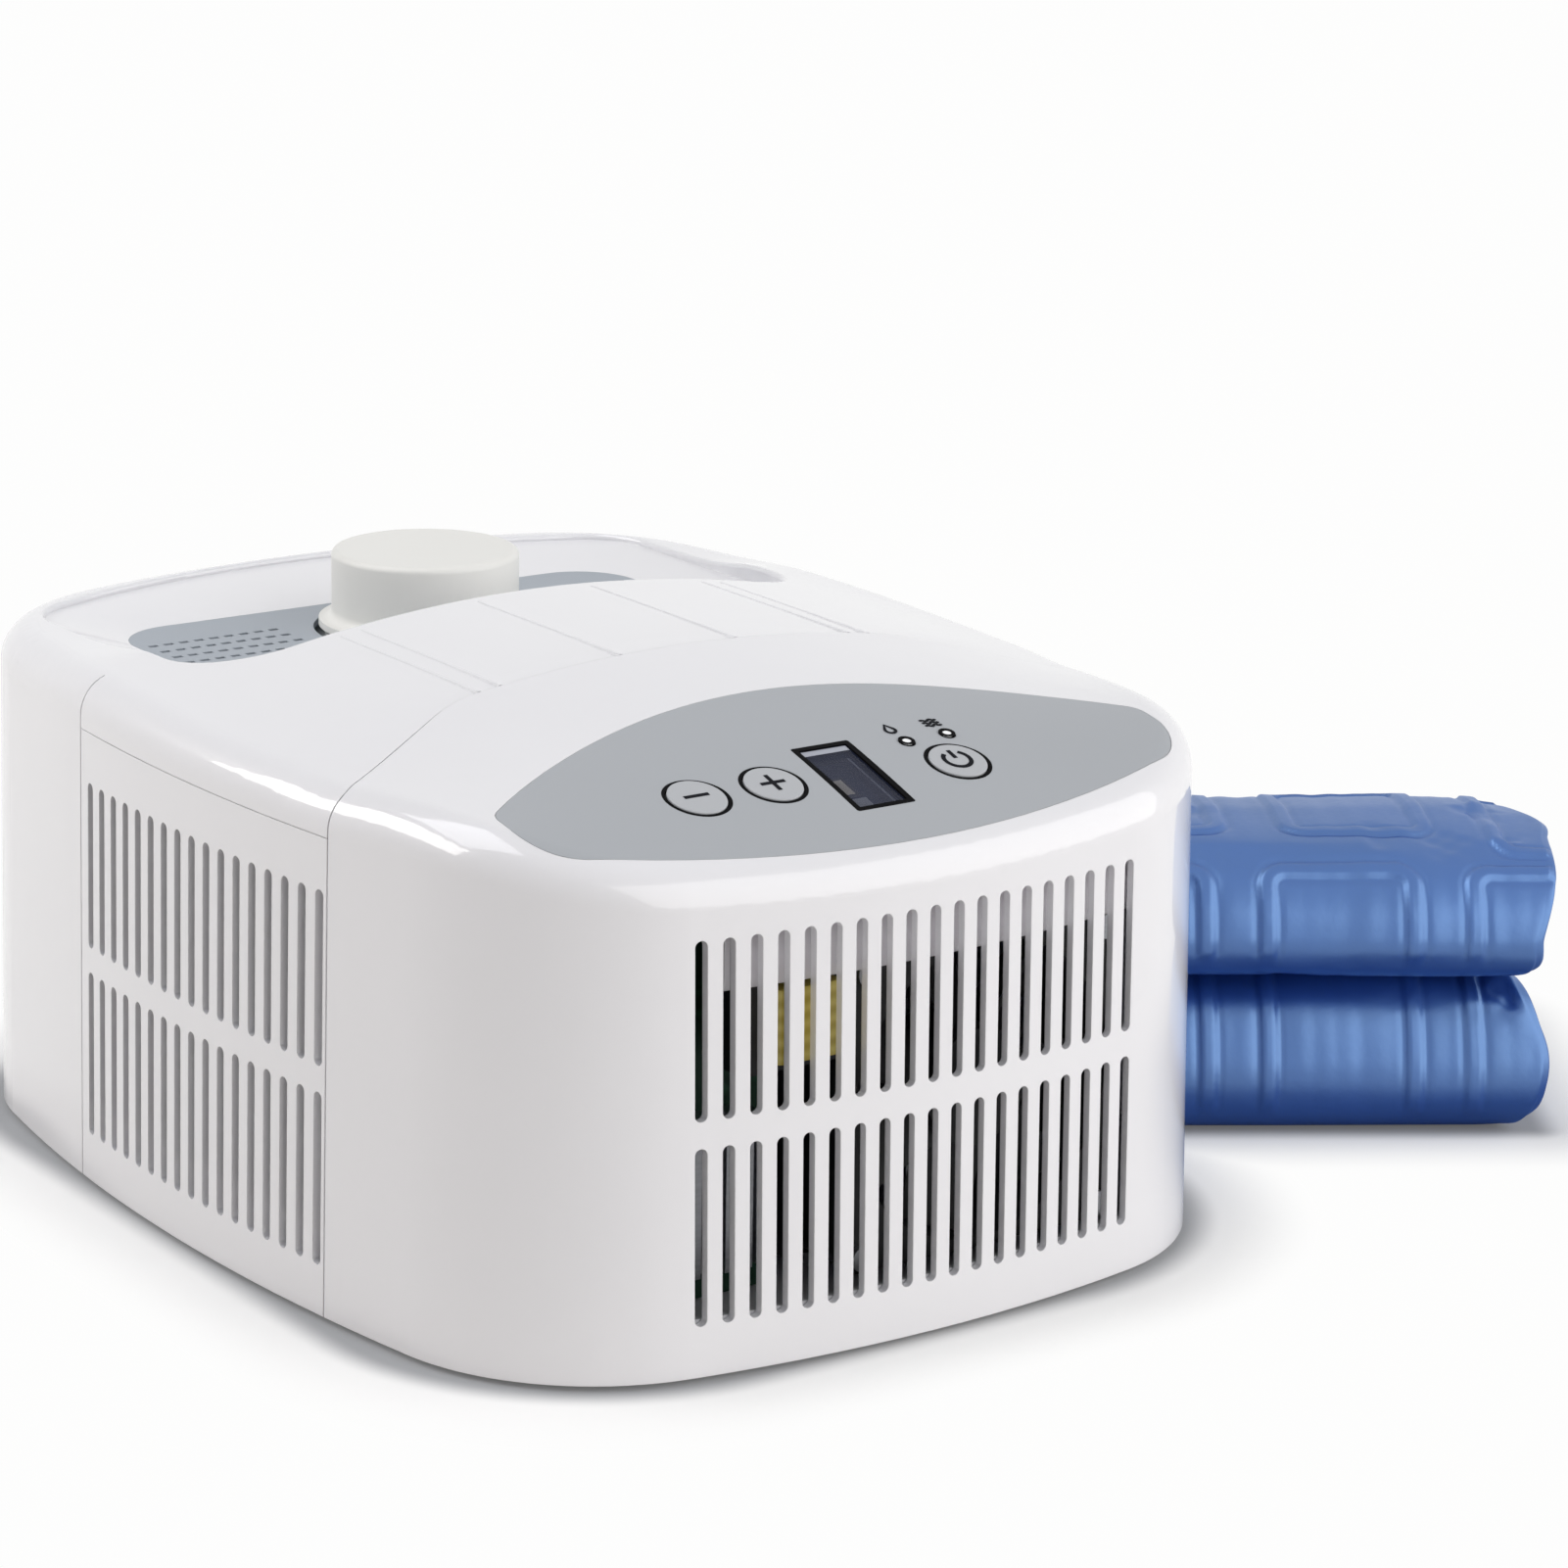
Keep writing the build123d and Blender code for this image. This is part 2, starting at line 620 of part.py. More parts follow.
def make_keys(outer):
    """Three round keys with their rings, switches and the two indicator lights."""
    rings = []
    switches = []
    body_top = -BOARD_DEPTH + SWITCH_SIZE[2]
    switch_top = body_top + PLUNGER_HEIGHT
    for name, (u, v) in KEY_PLACES.items():
        level = fascia_rise(u, v)
        seat = ring_seat(u, v)
        ring = on_fascia(u, v, KEY_RING_RADIUS, seat, WALL)
        ring -= on_fascia(u, v, KEY_RADIUS + KEY_GAP, seat - OVERCUT, WALL + OVERCUT)
        rings.append(solid_of(ring & outer))
        flange_top = level - WALL - KEY_FLANGE_GAP
        flange_low = flange_top - KEY_FLANGE_THICKNESS
        cap = on_fascia(u, v, KEY_RADIUS, flange_low, level + KEY_PROUD)
        cap = fillet(cap.edges().sort_by(FASCIA_AXIS)[-1:], KEY_DOME)
        key = cap + on_fascia(u, v, KEY_FLANGE_RADIUS, flange_low, flange_top)
        key += on_fascia(u, v, KEY_STEM_RADIUS, switch_top + PLUNGER_GAP, flange_low)
        keep(name, solid_of(key))
        body = on_fascia_box(u, v, SWITCH_SIZE[0], SWITCH_SIZE[1], -BOARD_DEPTH, body_top)
        body += on_fascia(u, v, PLUNGER_RADIUS, -BOARD_DEPTH, switch_top)
        switches.append(solid_of(body))
    keep("key_rings", *rings)
    keep("tact_switches", *switches)

    lamps = []
    collars = []
    for u, v in LIGHT_PLACES:
        level = fascia_rise(u, v)
        lamp = on_fascia(u, v, LIGHT_RADIUS, -BOARD_DEPTH, level + LIGHT_PROUD)
        lamps.append(fillet(lamp.edges().sort_by(FASCIA_AXIS)[-1:], LIGHT_PROUD * 2))
        seat = ring_seat(u, v)
        collar = on_fascia(u, v, LIGHT_RING_RADIUS, seat, WALL)
        collar -= on_fascia(u, v, LIGHT_RADIUS + FIT, seat - OVERCUT, WALL + OVERCUT)
        collars.append(solid_of(collar & outer))
    keep("indicator_lights", *lamps)
    keep("indicator_rings", *collars)

    width, length, thickness = BOARD_SIZE
    low = -BOARD_DEPTH - thickness
    board = on_fascia_box(0, 0, width, length, low, -BOARD_DEPTH, BOARD_CORNER_RADIUS)
    screws = []
    for u, v in BOARD_POSTS:
        board -= on_fascia(u, v, BOARD_SCREW_RADIUS + FIT, low - OVERCUT, 0)
        screw = on_fascia(u, v, BOARD_SCREW_RADIUS, low, -WALL - BOARD_SCREW_COVER)
        screws.append(screw + on_fascia(u, v, BOARD_SCREW_HEAD_RADIUS, low - SCREW_HEAD_HEIGHT, low))
    keep("control_board", solid_of(board))
    keep("board_screws", *[solid_of(s) for s in screws])


# Top cover with its dish


def dish_outline(grow):
    """Mouth of the rear dish: straight behind the hood, bowed along the rear rim."""
    rear = DISH_REAR_RADIUS + grow
    half = DISH_HALF_WIDTH + grow
    plan = Pos(0, DISH_REAR_Y - DISH_REAR_RADIUS) * Circle(rear)
    front = DISH_FRONT_Y - grow
    plan &= Pos(0, front + DISH_REAR_Y) * Rectangle(2 * half, 2 * DISH_REAR_Y)
    corners = plan.vertices().sort_by(Axis.Y)
    plan = fillet(corners[:2], DISH_FRONT_CORNER + grow)
    corners = plan.vertices().sort_by(Axis.Y)
    return fillet(corners[-2:], DISH_REAR_CORNER + grow)


def floor_outline(grow):
    """Outline of the dish's level floor."""
    low, high = DISH_FLOOR_Y
    size = (2 * (DISH_FLOOR_HALF_WIDTH + grow), high - low + 2 * grow)
    return Pos(0, (low + high) / 2) * RectangleRounded(*size, DISH_FLOOR_CORNER + grow)


def dish(grow, deeper):
    """The space of the dish, larger and deeper where its underside is needed."""
    mouth_height = RIM_HEIGHT - DISH_LIP
    mouth = Pos(0, 0, mouth_height - deeper) * dish_outline(grow)
    floor = Pos(0, 0, DISH_FLOOR_HEIGHT - deeper) * floor_outline(grow)
    bowl = loft([floor, mouth], ruled=True)
    return bowl + extrude(mouth, HOOD_HEIGHT + deeper - mouth_height + OVERCUT)


def round_lip(shell):
    """The shell with the edge of the dish's mouth rounded."""
    mouth = dish_outline(0).wire()
    lip = []
    for edge in shell.edges():
        middle = edge @ 0.5
        if middle.Z > RIM_HEIGHT - DISH_LIP + FIT and mouth.distance_to(Vector(middle.X, middle.Y, 0)) < FIT:
            lip.append(edge)
    return fillet(lip, DISH_LIP_RADIUS)


def make_top(outer, inner):
    """Top cover: hood with ribs, flanks, rear dish and rear wall."""
    cover = round_lip(outer - dish(0, 0)) - (inner - dish(WALL, DISH_UNDER))
    cover = cover & seam_zone(behind=True)
    side_y = (FRONT_SEAM_Y - SEAM_GAP, REAR_SEAM_Y + SEAM_GAP / 2)
    side_z = (0, SHOULDER_SEAM_Z + SHOULDER_SEAM_GAP / 2)
    cover -= both(span_box((HOUSING_WIDTH / 3, HOUSING_WIDTH), side_y, side_z))
    line_y = (REAR_SEAM_Y - SEAM_GAP / 2, REAR_SEAM_Y + SEAM_GAP / 2)
    line_z = (SHOULDER_SEAM_Z, HOOD_HEIGHT)
    for line in both(span_box((SHOULDER_LINE_X, HOUSING_WIDTH), line_y, line_z)):
        cover -= line - envelope(rear_top, SHOULDER_LINE_DEPTH)

    parts = []
    bores = []
    for place in REAR_POSTS:
        post, bore = screw_post(place, TRAY_BOTTOM + TRAY_FLOOR + POST_PAD)
        parts.append(post & leaning_prism(WALL / 2, SKIRT, HOOD_HEIGHT))
        bores.append(bore)
    for x in RIB_X:
        level = HOOD_HEIGHT - crown_drop(x, RIB_REAR_Y) + RIB_STAND - RIB_RADIUS
        rib = along_y(x, level, RIB_RADIUS, RIB_FRONT_Y, RIB_REAR_Y)
        parts += both(rib + Pos(x, RIB_REAR_Y, level) * Sphere(RIB_RADIUS))
    cover = cover + parts

    ledge = floor_outline(-PLATE_LEDGE)
    cuts = [extrude(Pos(0, 0, DISH_FLOOR_HEIGHT - 3 * DISH_UNDER) * ledge, 4 * DISH_UNDER)]
    rebate = floor_outline(-PLATE_CLEARANCE / 2)
    cuts.append(extrude(Pos(0, 0, DISH_FLOOR_HEIGHT - PLATE_THICKNESS) * rebate, 2 * PLATE_THICKNESS))
    half_w, half_h = INLET_SIZE[0] / 2 + PLATE_CLEARANCE, INLET_SIZE[1] / 2 + PLATE_CLEARANCE
    rear = (HOUSING_DEPTH / 3, HOUSING_DEPTH)
    inlet_x = (INLET_X - half_w, INLET_X + half_w)
    cuts.append(span_box(inlet_x, rear, (INLET_Z - half_h, INLET_Z + half_h)))
    for x in (SUPPLY_X, RETURN_X):
        cuts.append(along_y(x, CONNECTOR_Z, CONNECTOR_NECK_RADIUS + PLATE_CLEARANCE, *rear))
    keep("top_cover", solid_of(cover - cuts - bores))

    plate = floor_outline(-PLATE_CLEARANCE / 2 - FIT)
    plate = extrude(Pos(0, 0, DISH_FLOOR_HEIGHT - PLATE_THICKNESS) * plate, PLATE_THICKNESS)
    holes = Sketch()
    for i in range(PERFORATION_COLUMNS):
        for j in range(PERFORATION_ROWS):
            x = PERFORATION_MID[0] + PERFORATION_PITCH[0] * (i - (PERFORATION_COLUMNS - 1) / 2)
            y = PERFORATION_MID[1] + PERFORATION_PITCH[1] * (j - (PERFORATION_ROWS - 1) / 2)
            holes += Pos(x, y) * Rectangle(*PERFORATION)
            holes += Pos(-x, y) * Rectangle(*PERFORATION)
    holes += Pos(0, FILLER_Y) * Circle(NECK_HOLE_RADIUS)
    plate -= extrude(Pos(0, 0, DISH_FLOOR_HEIGHT - 2 * PLATE_THICKNESS) * holes, 3 * PLATE_THICKNESS)
    keep("dish_floor", solid_of(plate))


def make_side_panels():
    """Grille panels at the sides, each with a lap behind the covers around it."""
    y = (FRONT_SEAM_Y + SEAM_GAP / 2, REAR_SEAM_Y - SEAM_GAP / 2)
    z = (SKIRT, SHOULDER_SEAM_Z - SHOULDER_SEAM_GAP / 2)
    x = (HOUSING_WIDTH / 3, HOUSING_WIDTH)
    outside = leaning_prism(0, 0, HOOD_HEIGHT)
    inside = leaning_prism(WALL, 0, HOOD_HEIGHT)
    deep = leaning_prism(WALL + LAP_CLEARANCE + LAP_THICKNESS, 0, HOOD_HEIGHT)
    skin = (outside - inside) & span_box(x, y, z)
    lap_z = (TRAY_LIP_TOP + LAP, LAP_TOP)
    core = span_box((0, x[1]), (y[0] + LAP, y[1] - LAP), (lap_z[0] + LAP, z[1] - LAP))
    border = (inside - deep) & (span_box(x, y, (lap_z[0], z[1])) - core)
    behind = leaning_prism(WALL + LAP_CLEARANCE, 0, HOOD_HEIGHT) - deep
    lap = behind & (span_box(x, (y[0] - LAP, y[1] + LAP), lap_z) - core)
    panel = skin + border + lap
    slots = Plane.YZ * slot_cutters(SIDE_SLOTS, SIDE_SLOT_MID_Y)
    panel = solid_of(panel - extrude(slots, HOUSING_WIDTH))
    keep("right_grille_panel", panel)
    keep("left_grille_panel", mirror(panel, Plane.YZ))


# Base tray, feet and screws


def make_base():
    """Tray that closes the housing underneath, with its rubber feet and screws."""
    inset = WALL + TRAY_CLEARANCE
    floor_top = TRAY_BOTTOM + TRAY_FLOOR
    tray = leaning_prism(inset, TRAY_BOTTOM, TRAY_LIP_TOP)
    tray -= leaning_prism(inset + TRAY_LIP, floor_top, TRAY_LIP_TOP + OVERCUT)
    walls = leaning_prism(inset, 0, HOOD_HEIGHT)
    for x, y in FRONT_POSTS + REAR_POSTS:
        tray += upright(x, y, POST_PAD_RADIUS, floor_top, floor_top + POST_PAD) & walls
    rail = (-RAIL_WIDTH / 2, RAIL_WIDTH / 2)
    for x in (-TANK_RAIL_X, TANK_RAIL_X):
        rail_y = (TANK_Y[0] + TANK_CORNER, TANK_Y[1] - TANK_CORNER)
        tray += span_box((x + rail[0], x + rail[1]), rail_y, (TRAY_BOTTOM, TANK_BOTTOM))
    radiator_y = (RADIATOR_FRONT_Y, RADIATOR_BACK_Y)
    for side in (-1, 1):
        x = FAN_X + side * RADIATOR_WIDTH / 3
        low = FAN_Z - RADIATOR_HEIGHT / 2
        tray += span_box((x + rail[0], x + rail[1]), radiator_y, (TRAY_BOTTOM, low))
    for x in (POWER_BOARD_X[0] + 2 * RAIL_WIDTH, POWER_BOARD_X[1] - 2 * RAIL_WIDTH):
        holder_y = (POWER_BOARD_Y - RAIL_WIDTH, POWER_BOARD_Y + POWER_BOARD_THICKNESS + RAIL_WIDTH)
        tray += span_box((x + rail[0], x + rail[1]), holder_y, (TRAY_BOTTOM, TRAY_LIP_TOP))
    slot_y = (POWER_BOARD_Y - FIT, POWER_BOARD_Y + POWER_BOARD_THICKNESS + FIT)
    tray -= span_box(POWER_BOARD_X, slot_y, (POWER_BOARD_Z[0], TRAY_LIP_TOP + OVERCUT))

    screws = []
    for x, y in FRONT_POSTS + REAR_POSTS:
        tray -= upright(x, y, SCREW_HEAD_RADIUS + TRAY_CLEARANCE, 0, floor_top)
        tray -= upright(x, y, SCREW_RADIUS + FIT, 0, floor_top + POST_PAD + OVERCUT)
        top = floor_top + POST_PAD + SCREW_REACH - SCREW_END_GAP
        shank = upright(x, y, SCREW_RADIUS, floor_top - SCREW_HEAD_HEIGHT, top)
        screws.append(shank + upright(x, y, SCREW_HEAD_RADIUS, floor_top - SCREW_HEAD_HEIGHT, floor_top))
    feet = []
    for x, y in FOOT_PLACES:
        tray -= upright(x, y, FOOT_RADIUS + FIT, 0, TRAY_BOTTOM + FOOT_SOCKET)
        foot = upright(x, y, FOOT_RADIUS, 0, TRAY_BOTTOM + FOOT_SOCKET)
        feet.append(fillet(foot.edges().sort_by(Axis.Z)[:1], FOOT_EDGE))
    keep("base_tray", solid_of(tray))
    keep("housing_screws", *[solid_of(s) for s in screws])
    keep("rubber_feet", *[solid_of(f) for f in feet])


# Tank, neck and cap


def make_tank():
    """Water tank with a welded lid and filler neck."""
    mid_y = (TANK_Y[0] + TANK_Y[1]) / 2
    size = (2 * TANK_HALF_WIDTH, TANK_Y[1] - TANK_Y[0])
    plan = RectangleRounded(*size, TANK_CORNER)
    cavity = RectangleRounded(size[0] - 2 * TANK_WALL, size[1] - 2 * TANK_WALL, TANK_CORNER - TANK_WALL)
    tub = Pos(0, mid_y, TANK_BOTTOM) * extrude(plan, TANK_TOP - TANK_BOTTOM)
    tub -= Pos(0, mid_y, TANK_BOTTOM + TANK_WALL) * extrude(cavity, TANK_TOP)
    for x, z, wall_y, way in tank_ports():
        outer_y = wall_y + way * BARB_REACH
        inner_y = wall_y - way * 2 * TANK_WALL
        tub += along_y(x, z, BARB_RADIUS, *sorted((wall_y, outer_y)))
        tub -= along_y(x, z, BARB_BORE_RADIUS, *sorted((inner_y, outer_y)))
    keep("water_tank", solid_of(tub))

    lid = Pos(0, mid_y, TANK_TOP) * extrude(plan, TANK_LID)
    lid_top = TANK_TOP + TANK_LID
    lid += upright(0, FILLER_Y, COLLAR_RADIUS, lid_top, lid_top + TANK_LID)
    lid += upright(0, FILLER_Y, NECK_RADIUS, lid_top, NECK_TOP)
    lid -= upright(0, FILLER_Y, NECK_BORE_RADIUS, TANK_TOP - OVERCUT, NECK_TOP + OVERCUT)
    keep("tank_lid", solid_of(lid))


def tank_ports():
    """Place, height, wall and direction of the tank's hose barbs."""
    return ((PUMP_X, PUMP_PORT_Z, TANK_Y[0], -1), (RETURN_X, CONNECTOR_Z, TANK_Y[1], 1))


def make_cap():
    """Screw cap over the neck, and the seal under its roof."""
    flange_top = CAP_BOTTOM + CAP_FLANGE_HEIGHT
    inner = CAP_RADIUS - CAP_WALL
    with BuildPart() as cap:
        with BuildSketch(Plane.XZ):
            with BuildLine():
                Polyline(
                    (0, CAP_TOP - CAP_ROOF),
                    (0, CAP_TOP),
                    (CAP_RADIUS - CAP_EDGE, CAP_TOP),
                )
                corner = math.sqrt(0.5) * CAP_EDGE
                ThreePointArc(
                    (CAP_RADIUS - CAP_EDGE, CAP_TOP),
                    (CAP_RADIUS - CAP_EDGE + corner, CAP_TOP - CAP_EDGE + corner),
                    (CAP_RADIUS, CAP_TOP - CAP_EDGE),
                )
                Line((CAP_RADIUS, CAP_TOP - CAP_EDGE), (CAP_RADIUS, flange_top + CAP_FLARE))
                flare = math.sqrt(0.5) * CAP_FLARE
                ThreePointArc(
                    (CAP_RADIUS, flange_top + CAP_FLARE),
                    (CAP_RADIUS + CAP_FLARE - flare, flange_top + CAP_FLARE - flare),
                    (CAP_RADIUS + CAP_FLARE, flange_top),
                )
                Polyline(
                    (CAP_RADIUS + CAP_FLARE, flange_top),
                    (CAP_FLANGE_RADIUS, flange_top),
                    (CAP_FLANGE_RADIUS, CAP_BOTTOM),
                    (inner, CAP_BOTTOM),
                    (inner, CAP_TOP - CAP_ROOF),
                    (0, CAP_TOP - CAP_ROOF),
                )
            make_face()
        revolve(axis=Axis.Z)
    keep("filler_cap", Pos(0, FILLER_Y, 0) * cap.part.solid())
    low = NECK_TOP + SEAL_CLEARANCE
    seal = upright(0, FILLER_Y, SEAL_RADIUS, low, low + SEAL_THICKNESS)
    seal -= upright(0, FILLER_Y, NECK_BORE_RADIUS, low - OVERCUT, NECK_TOP + 2 * SEAL_THICKNESS)
    keep("cap_seal", solid_of(seal))


# Cooling side: fan, radiator, pump and hoses


RADIATOR_FRONT_Y = FAN_FRONT_Y + FAN_DEPTH + SHROUD_DEPTH
RADIATOR_BACK_Y = RADIATOR_FRONT_Y + RADIATOR_DEPTH


def fan_place(y):
    return Pos(FAN_X, y, FAN_Z) * Rot(90, 0, 0)


def make_fan():
    """Axial fan: square frame with a motor plate on struts, and a bladed rotor."""
    back = FAN_FRONT_Y + FAN_DEPTH
    profile = RectangleRounded(FAN_SIZE, FAN_SIZE, FAN_CORNER) - Circle(FAN_BORE_RADIUS)
    for i in (-1, 1):
        for j in (-1, 1):
            profile -= Pos(i * FAN_HOLE_SPACING / 2, j * FAN_HOLE_SPACING / 2) * Circle(FAN_HOLE_RADIUS)
    frame = fan_place(back) * extrude(profile, FAN_DEPTH)
    motor = Circle(FAN_HUB_RADIUS)
    for angle in (45, 135):
        motor += Rot(0, 0, angle) * Rectangle(2 * FAN_BORE_RADIUS + OVERCUT, FAN_STRUT_WIDTH)
    frame += fan_place(back) * extrude(motor, FAN_MOTOR_LENGTH)
    bearing_end = back - FAN_MOTOR_CAP
    frame -= along_y(FAN_X, FAN_Z, FAN_SHAFT_RADIUS + FIT, back - FAN_MOTOR_LENGTH - OVERCUT, bearing_end)
    keep("fan_frame", solid_of(frame))

    hub_front = FAN_FRONT_Y + FAN_HUB_SETBACK
    hub_back = hub_front + FAN_HUB_LENGTH
    rotor = along_y(FAN_X, FAN_Z, FAN_HUB_RADIUS - 1, hub_front, hub_back)
    rotor += along_y(FAN_X, FAN_Z, FAN_SHAFT_RADIUS, hub_back, bearing_end - FAN_SHAFT_END_GAP)
    mid = (hub_front + hub_back) / 2
    for i in range(FAN_BLADES):
        blade = Pos((FAN_HUB_RADIUS - 2 + FAN_BLADE_TIP) / 2, 0, 0) * Rot(FAN_BLADE_PITCH, 0, 0)
        blade *= Box(FAN_BLADE_TIP - FAN_HUB_RADIUS + 2, FAN_BLADE_THICKNESS, FAN_BLADE_CHORD)
        rotor += Pos(FAN_X, mid, FAN_Z) * Rot(0, 360 * i / FAN_BLADES, 0) * blade
    rotor &= along_y(FAN_X, FAN_Z, FAN_BLADE_TIP, FAN_FRONT_Y + 1, back)
    keep("fan_rotor", solid_of(rotor))

    screws = []
    head_radius, head_height = FAN_SCREW_HEAD
    head_front = FAN_FRONT_Y - head_height
    for i in (-1, 1):
        for j in (-1, 1):
            x = FAN_X + i * FAN_HOLE_SPACING / 2
            z = FAN_Z + j * FAN_HOLE_SPACING / 2
            screw = along_y(x, z, FAN_HOLE_RADIUS - FIT, head_front, back)
            screws.append(screw + along_y(x, z, head_radius, head_front, FAN_FRONT_Y))
    keep("fan_screws", *[solid_of(s) for s in screws])


def make_radiator():
    """Finned radiator behind the fan, with a shroud between them and an end tank on each side."""
    front = RADIATOR_FRONT_Y
    back = RADIATOR_BACK_Y
    half = RADIATOR_WIDTH / 2
    low, high = FAN_Z - RADIATOR_HEIGHT / 2, FAN_Z + RADIATOR_HEIGHT / 2
    core = span_box((FAN_X - half, FAN_X + half), (front, back), (low, high))
    cell_x = (RADIATOR_WIDTH - FIN_THICKNESS) / RADIATOR_COLUMNS
    cell_z = (RADIATOR_HEIGHT - TUBE_THICKNESS) / RADIATOR_ROWS
    cells = Sketch()
    for i in range(RADIATOR_COLUMNS):
        for j in range(RADIATOR_ROWS):
            x = cell_x * (i - (RADIATOR_COLUMNS - 1) / 2)
            z = cell_z * (j - (RADIATOR_ROWS - 1) / 2)
            cells += Pos(x, z) * Rectangle(cell_x - FIN_THICKNESS, cell_z - TUBE_THICKNESS)
    core -= fan_place(back + OVERCUT) * extrude(cells, RADIATOR_DEPTH + 2 * OVERCUT)
    keep("radiator_core", solid_of(core))
    shroud = Rectangle(RADIATOR_WIDTH, RADIATOR_HEIGHT) - Circle(SHROUD_BORE_RADIUS)
    keep("fan_shroud", solid_of(fan_place(front) * extrude(shroud, SHROUD_DEPTH)))

    tanks = []
    for side, port_z in ((-1, RADIATOR_INLET_Z), (1, RADIATOR_OUTLET_Z)):
        x = FAN_X + side * (half + END_TANK_WIDTH / 2)
        box = Pos(x, (front + back) / 2, FAN_Z) * Box(END_TANK_WIDTH, RADIATOR_DEPTH, RADIATOR_HEIGHT)
        outer = box.faces().sort_by(Axis.X)[-1 if side > 0 else 0]
        box = fillet(outer.edges(), END_TANK_EDGE)
        box += along_y(x, port_z, BARB_RADIUS, back, back + BARB_REACH)
        tanks.append(solid_of(box))
    keep("radiator_tanks", *tanks)


def make_pump():
    """Circulation pump on a rubber pad."""
    low = TRAY_BOTTOM + TRAY_FLOOR
    keep("pump_pad", solid_of(upright(PUMP_X, PUMP_Y, PUMP_RADIUS, low, low + PUMP_PAD_HEIGHT)))
    seat = low + PUMP_PAD_HEIGHT
    top = seat + PUMP_HEIGHT
    pump = upright(PUMP_X, PUMP_Y, PUMP_RADIUS, seat, seat + PUMP_CHAMBER_HEIGHT)
    pump += upright(PUMP_X, PUMP_Y, PUMP_MOTOR_RADIUS, seat, top)
    pump = fillet(pump.edges().sort_by(Axis.Z)[-1:], PUMP_EDGE)
    pump += along_y(PUMP_X, PUMP_PORT_Z, BARB_RADIUS, PUMP_Y, PUMP_Y + PUMP_RADIUS + BARB_REACH)
    pump += upright(PUMP_X, PUMP_Y, BARB_RADIUS, seat, top + BARB_REACH)
    keep("pump", solid_of(pump))


def hose(points, radii):
    """A hose along straight runs and arcs, bored to slip over its barbs."""
    path = FilletPolyline(*points, radius=radii) if radii else Line(*points)
    start = Plane(origin=path @ 0, z_dir=path % 0)
    section = Circle(HOSE_RADIUS) - Circle(BARB_RADIUS + HOSE_CLEARANCE)
    return solid_of(sweep(start * section, path=path))


def make_hoses():
    """Hoses inside the housing: tank to pump, pump to radiator, radiator to the rear, rear to tank."""
    suction = [
        (PUMP_X, PUMP_Y + PUMP_RADIUS + HOSE_LEAD, PUMP_PORT_Z),
        (PUMP_X, TANK_Y[0] - HOSE_LEAD, PUMP_PORT_Z),
    ]
    keep("suction_hose", hose(suction, None))

    pump_top = TRAY_BOTTOM + TRAY_FLOOR + PUMP_PAD_HEIGHT + PUMP_HEIGHT
    tank_back = RADIATOR_BACK_Y + HOSE_LEAD
    left_x = FAN_X - RADIATOR_WIDTH / 2 - END_TANK_WIDTH / 2
    right_x = FAN_X + RADIATOR_WIDTH / 2 + END_TANK_WIDTH / 2
    pressure = [
        (PUMP_X, PUMP_Y, pump_top + HOSE_LEAD),
        (PUMP_X, PUMP_Y, RADIATOR_INLET_Z),
        (left_x, PUMP_Y - PRESSURE_SWEEP, RADIATOR_INLET_Z),
        (left_x, tank_back, RADIATOR_INLET_Z),
    ]
    keep("pressure_hose", hose(pressure, PRESSURE_BENDS))

    supply = [
        (right_x, tank_back, RADIATOR_OUTLET_Z),
        (right_x, tank_back + SUPPLY_LEAD, RADIATOR_OUTLET_Z),
        *SUPPLY_SIDE,
        (*SUPPLY_CORNER, CONNECTOR_Z),
        (SUPPLY_X, SUPPLY_TURN_Y, CONNECTOR_Z),
        (SUPPLY_X, connector_inner_y(SUPPLY_X) - HOSE_LEAD, CONNECTOR_Z),
    ]
    keep("supply_hose", hose(supply, SUPPLY_BENDS))

    back = [
        (RETURN_X, TANK_Y[1] + HOSE_LEAD, CONNECTOR_Z),
        (RETURN_X, connector_inner_y(RETURN_X) - HOSE_LEAD, CONNECTOR_Z),
    ]
    keep("return_hose", hose(back, None))


def rear_wall_y(x, z):
    """Outside of the rear wall at a place and height, where the rear is one bow."""
    inset = LEAN_PER_MM * z
    radius = bow_radius(HOUSING_WIDTH, REAR_BOW) - inset
    return HOUSING_DEPTH / 2 - inset - radius + math.sqrt(radius * radius - x * x)


def connector_inner_y(x):
    """Where a connector's body ends inside the rear wall."""
    return rear_wall_y(x, CONNECTOR_Z) - WALL - CONNECTOR_FLANGE


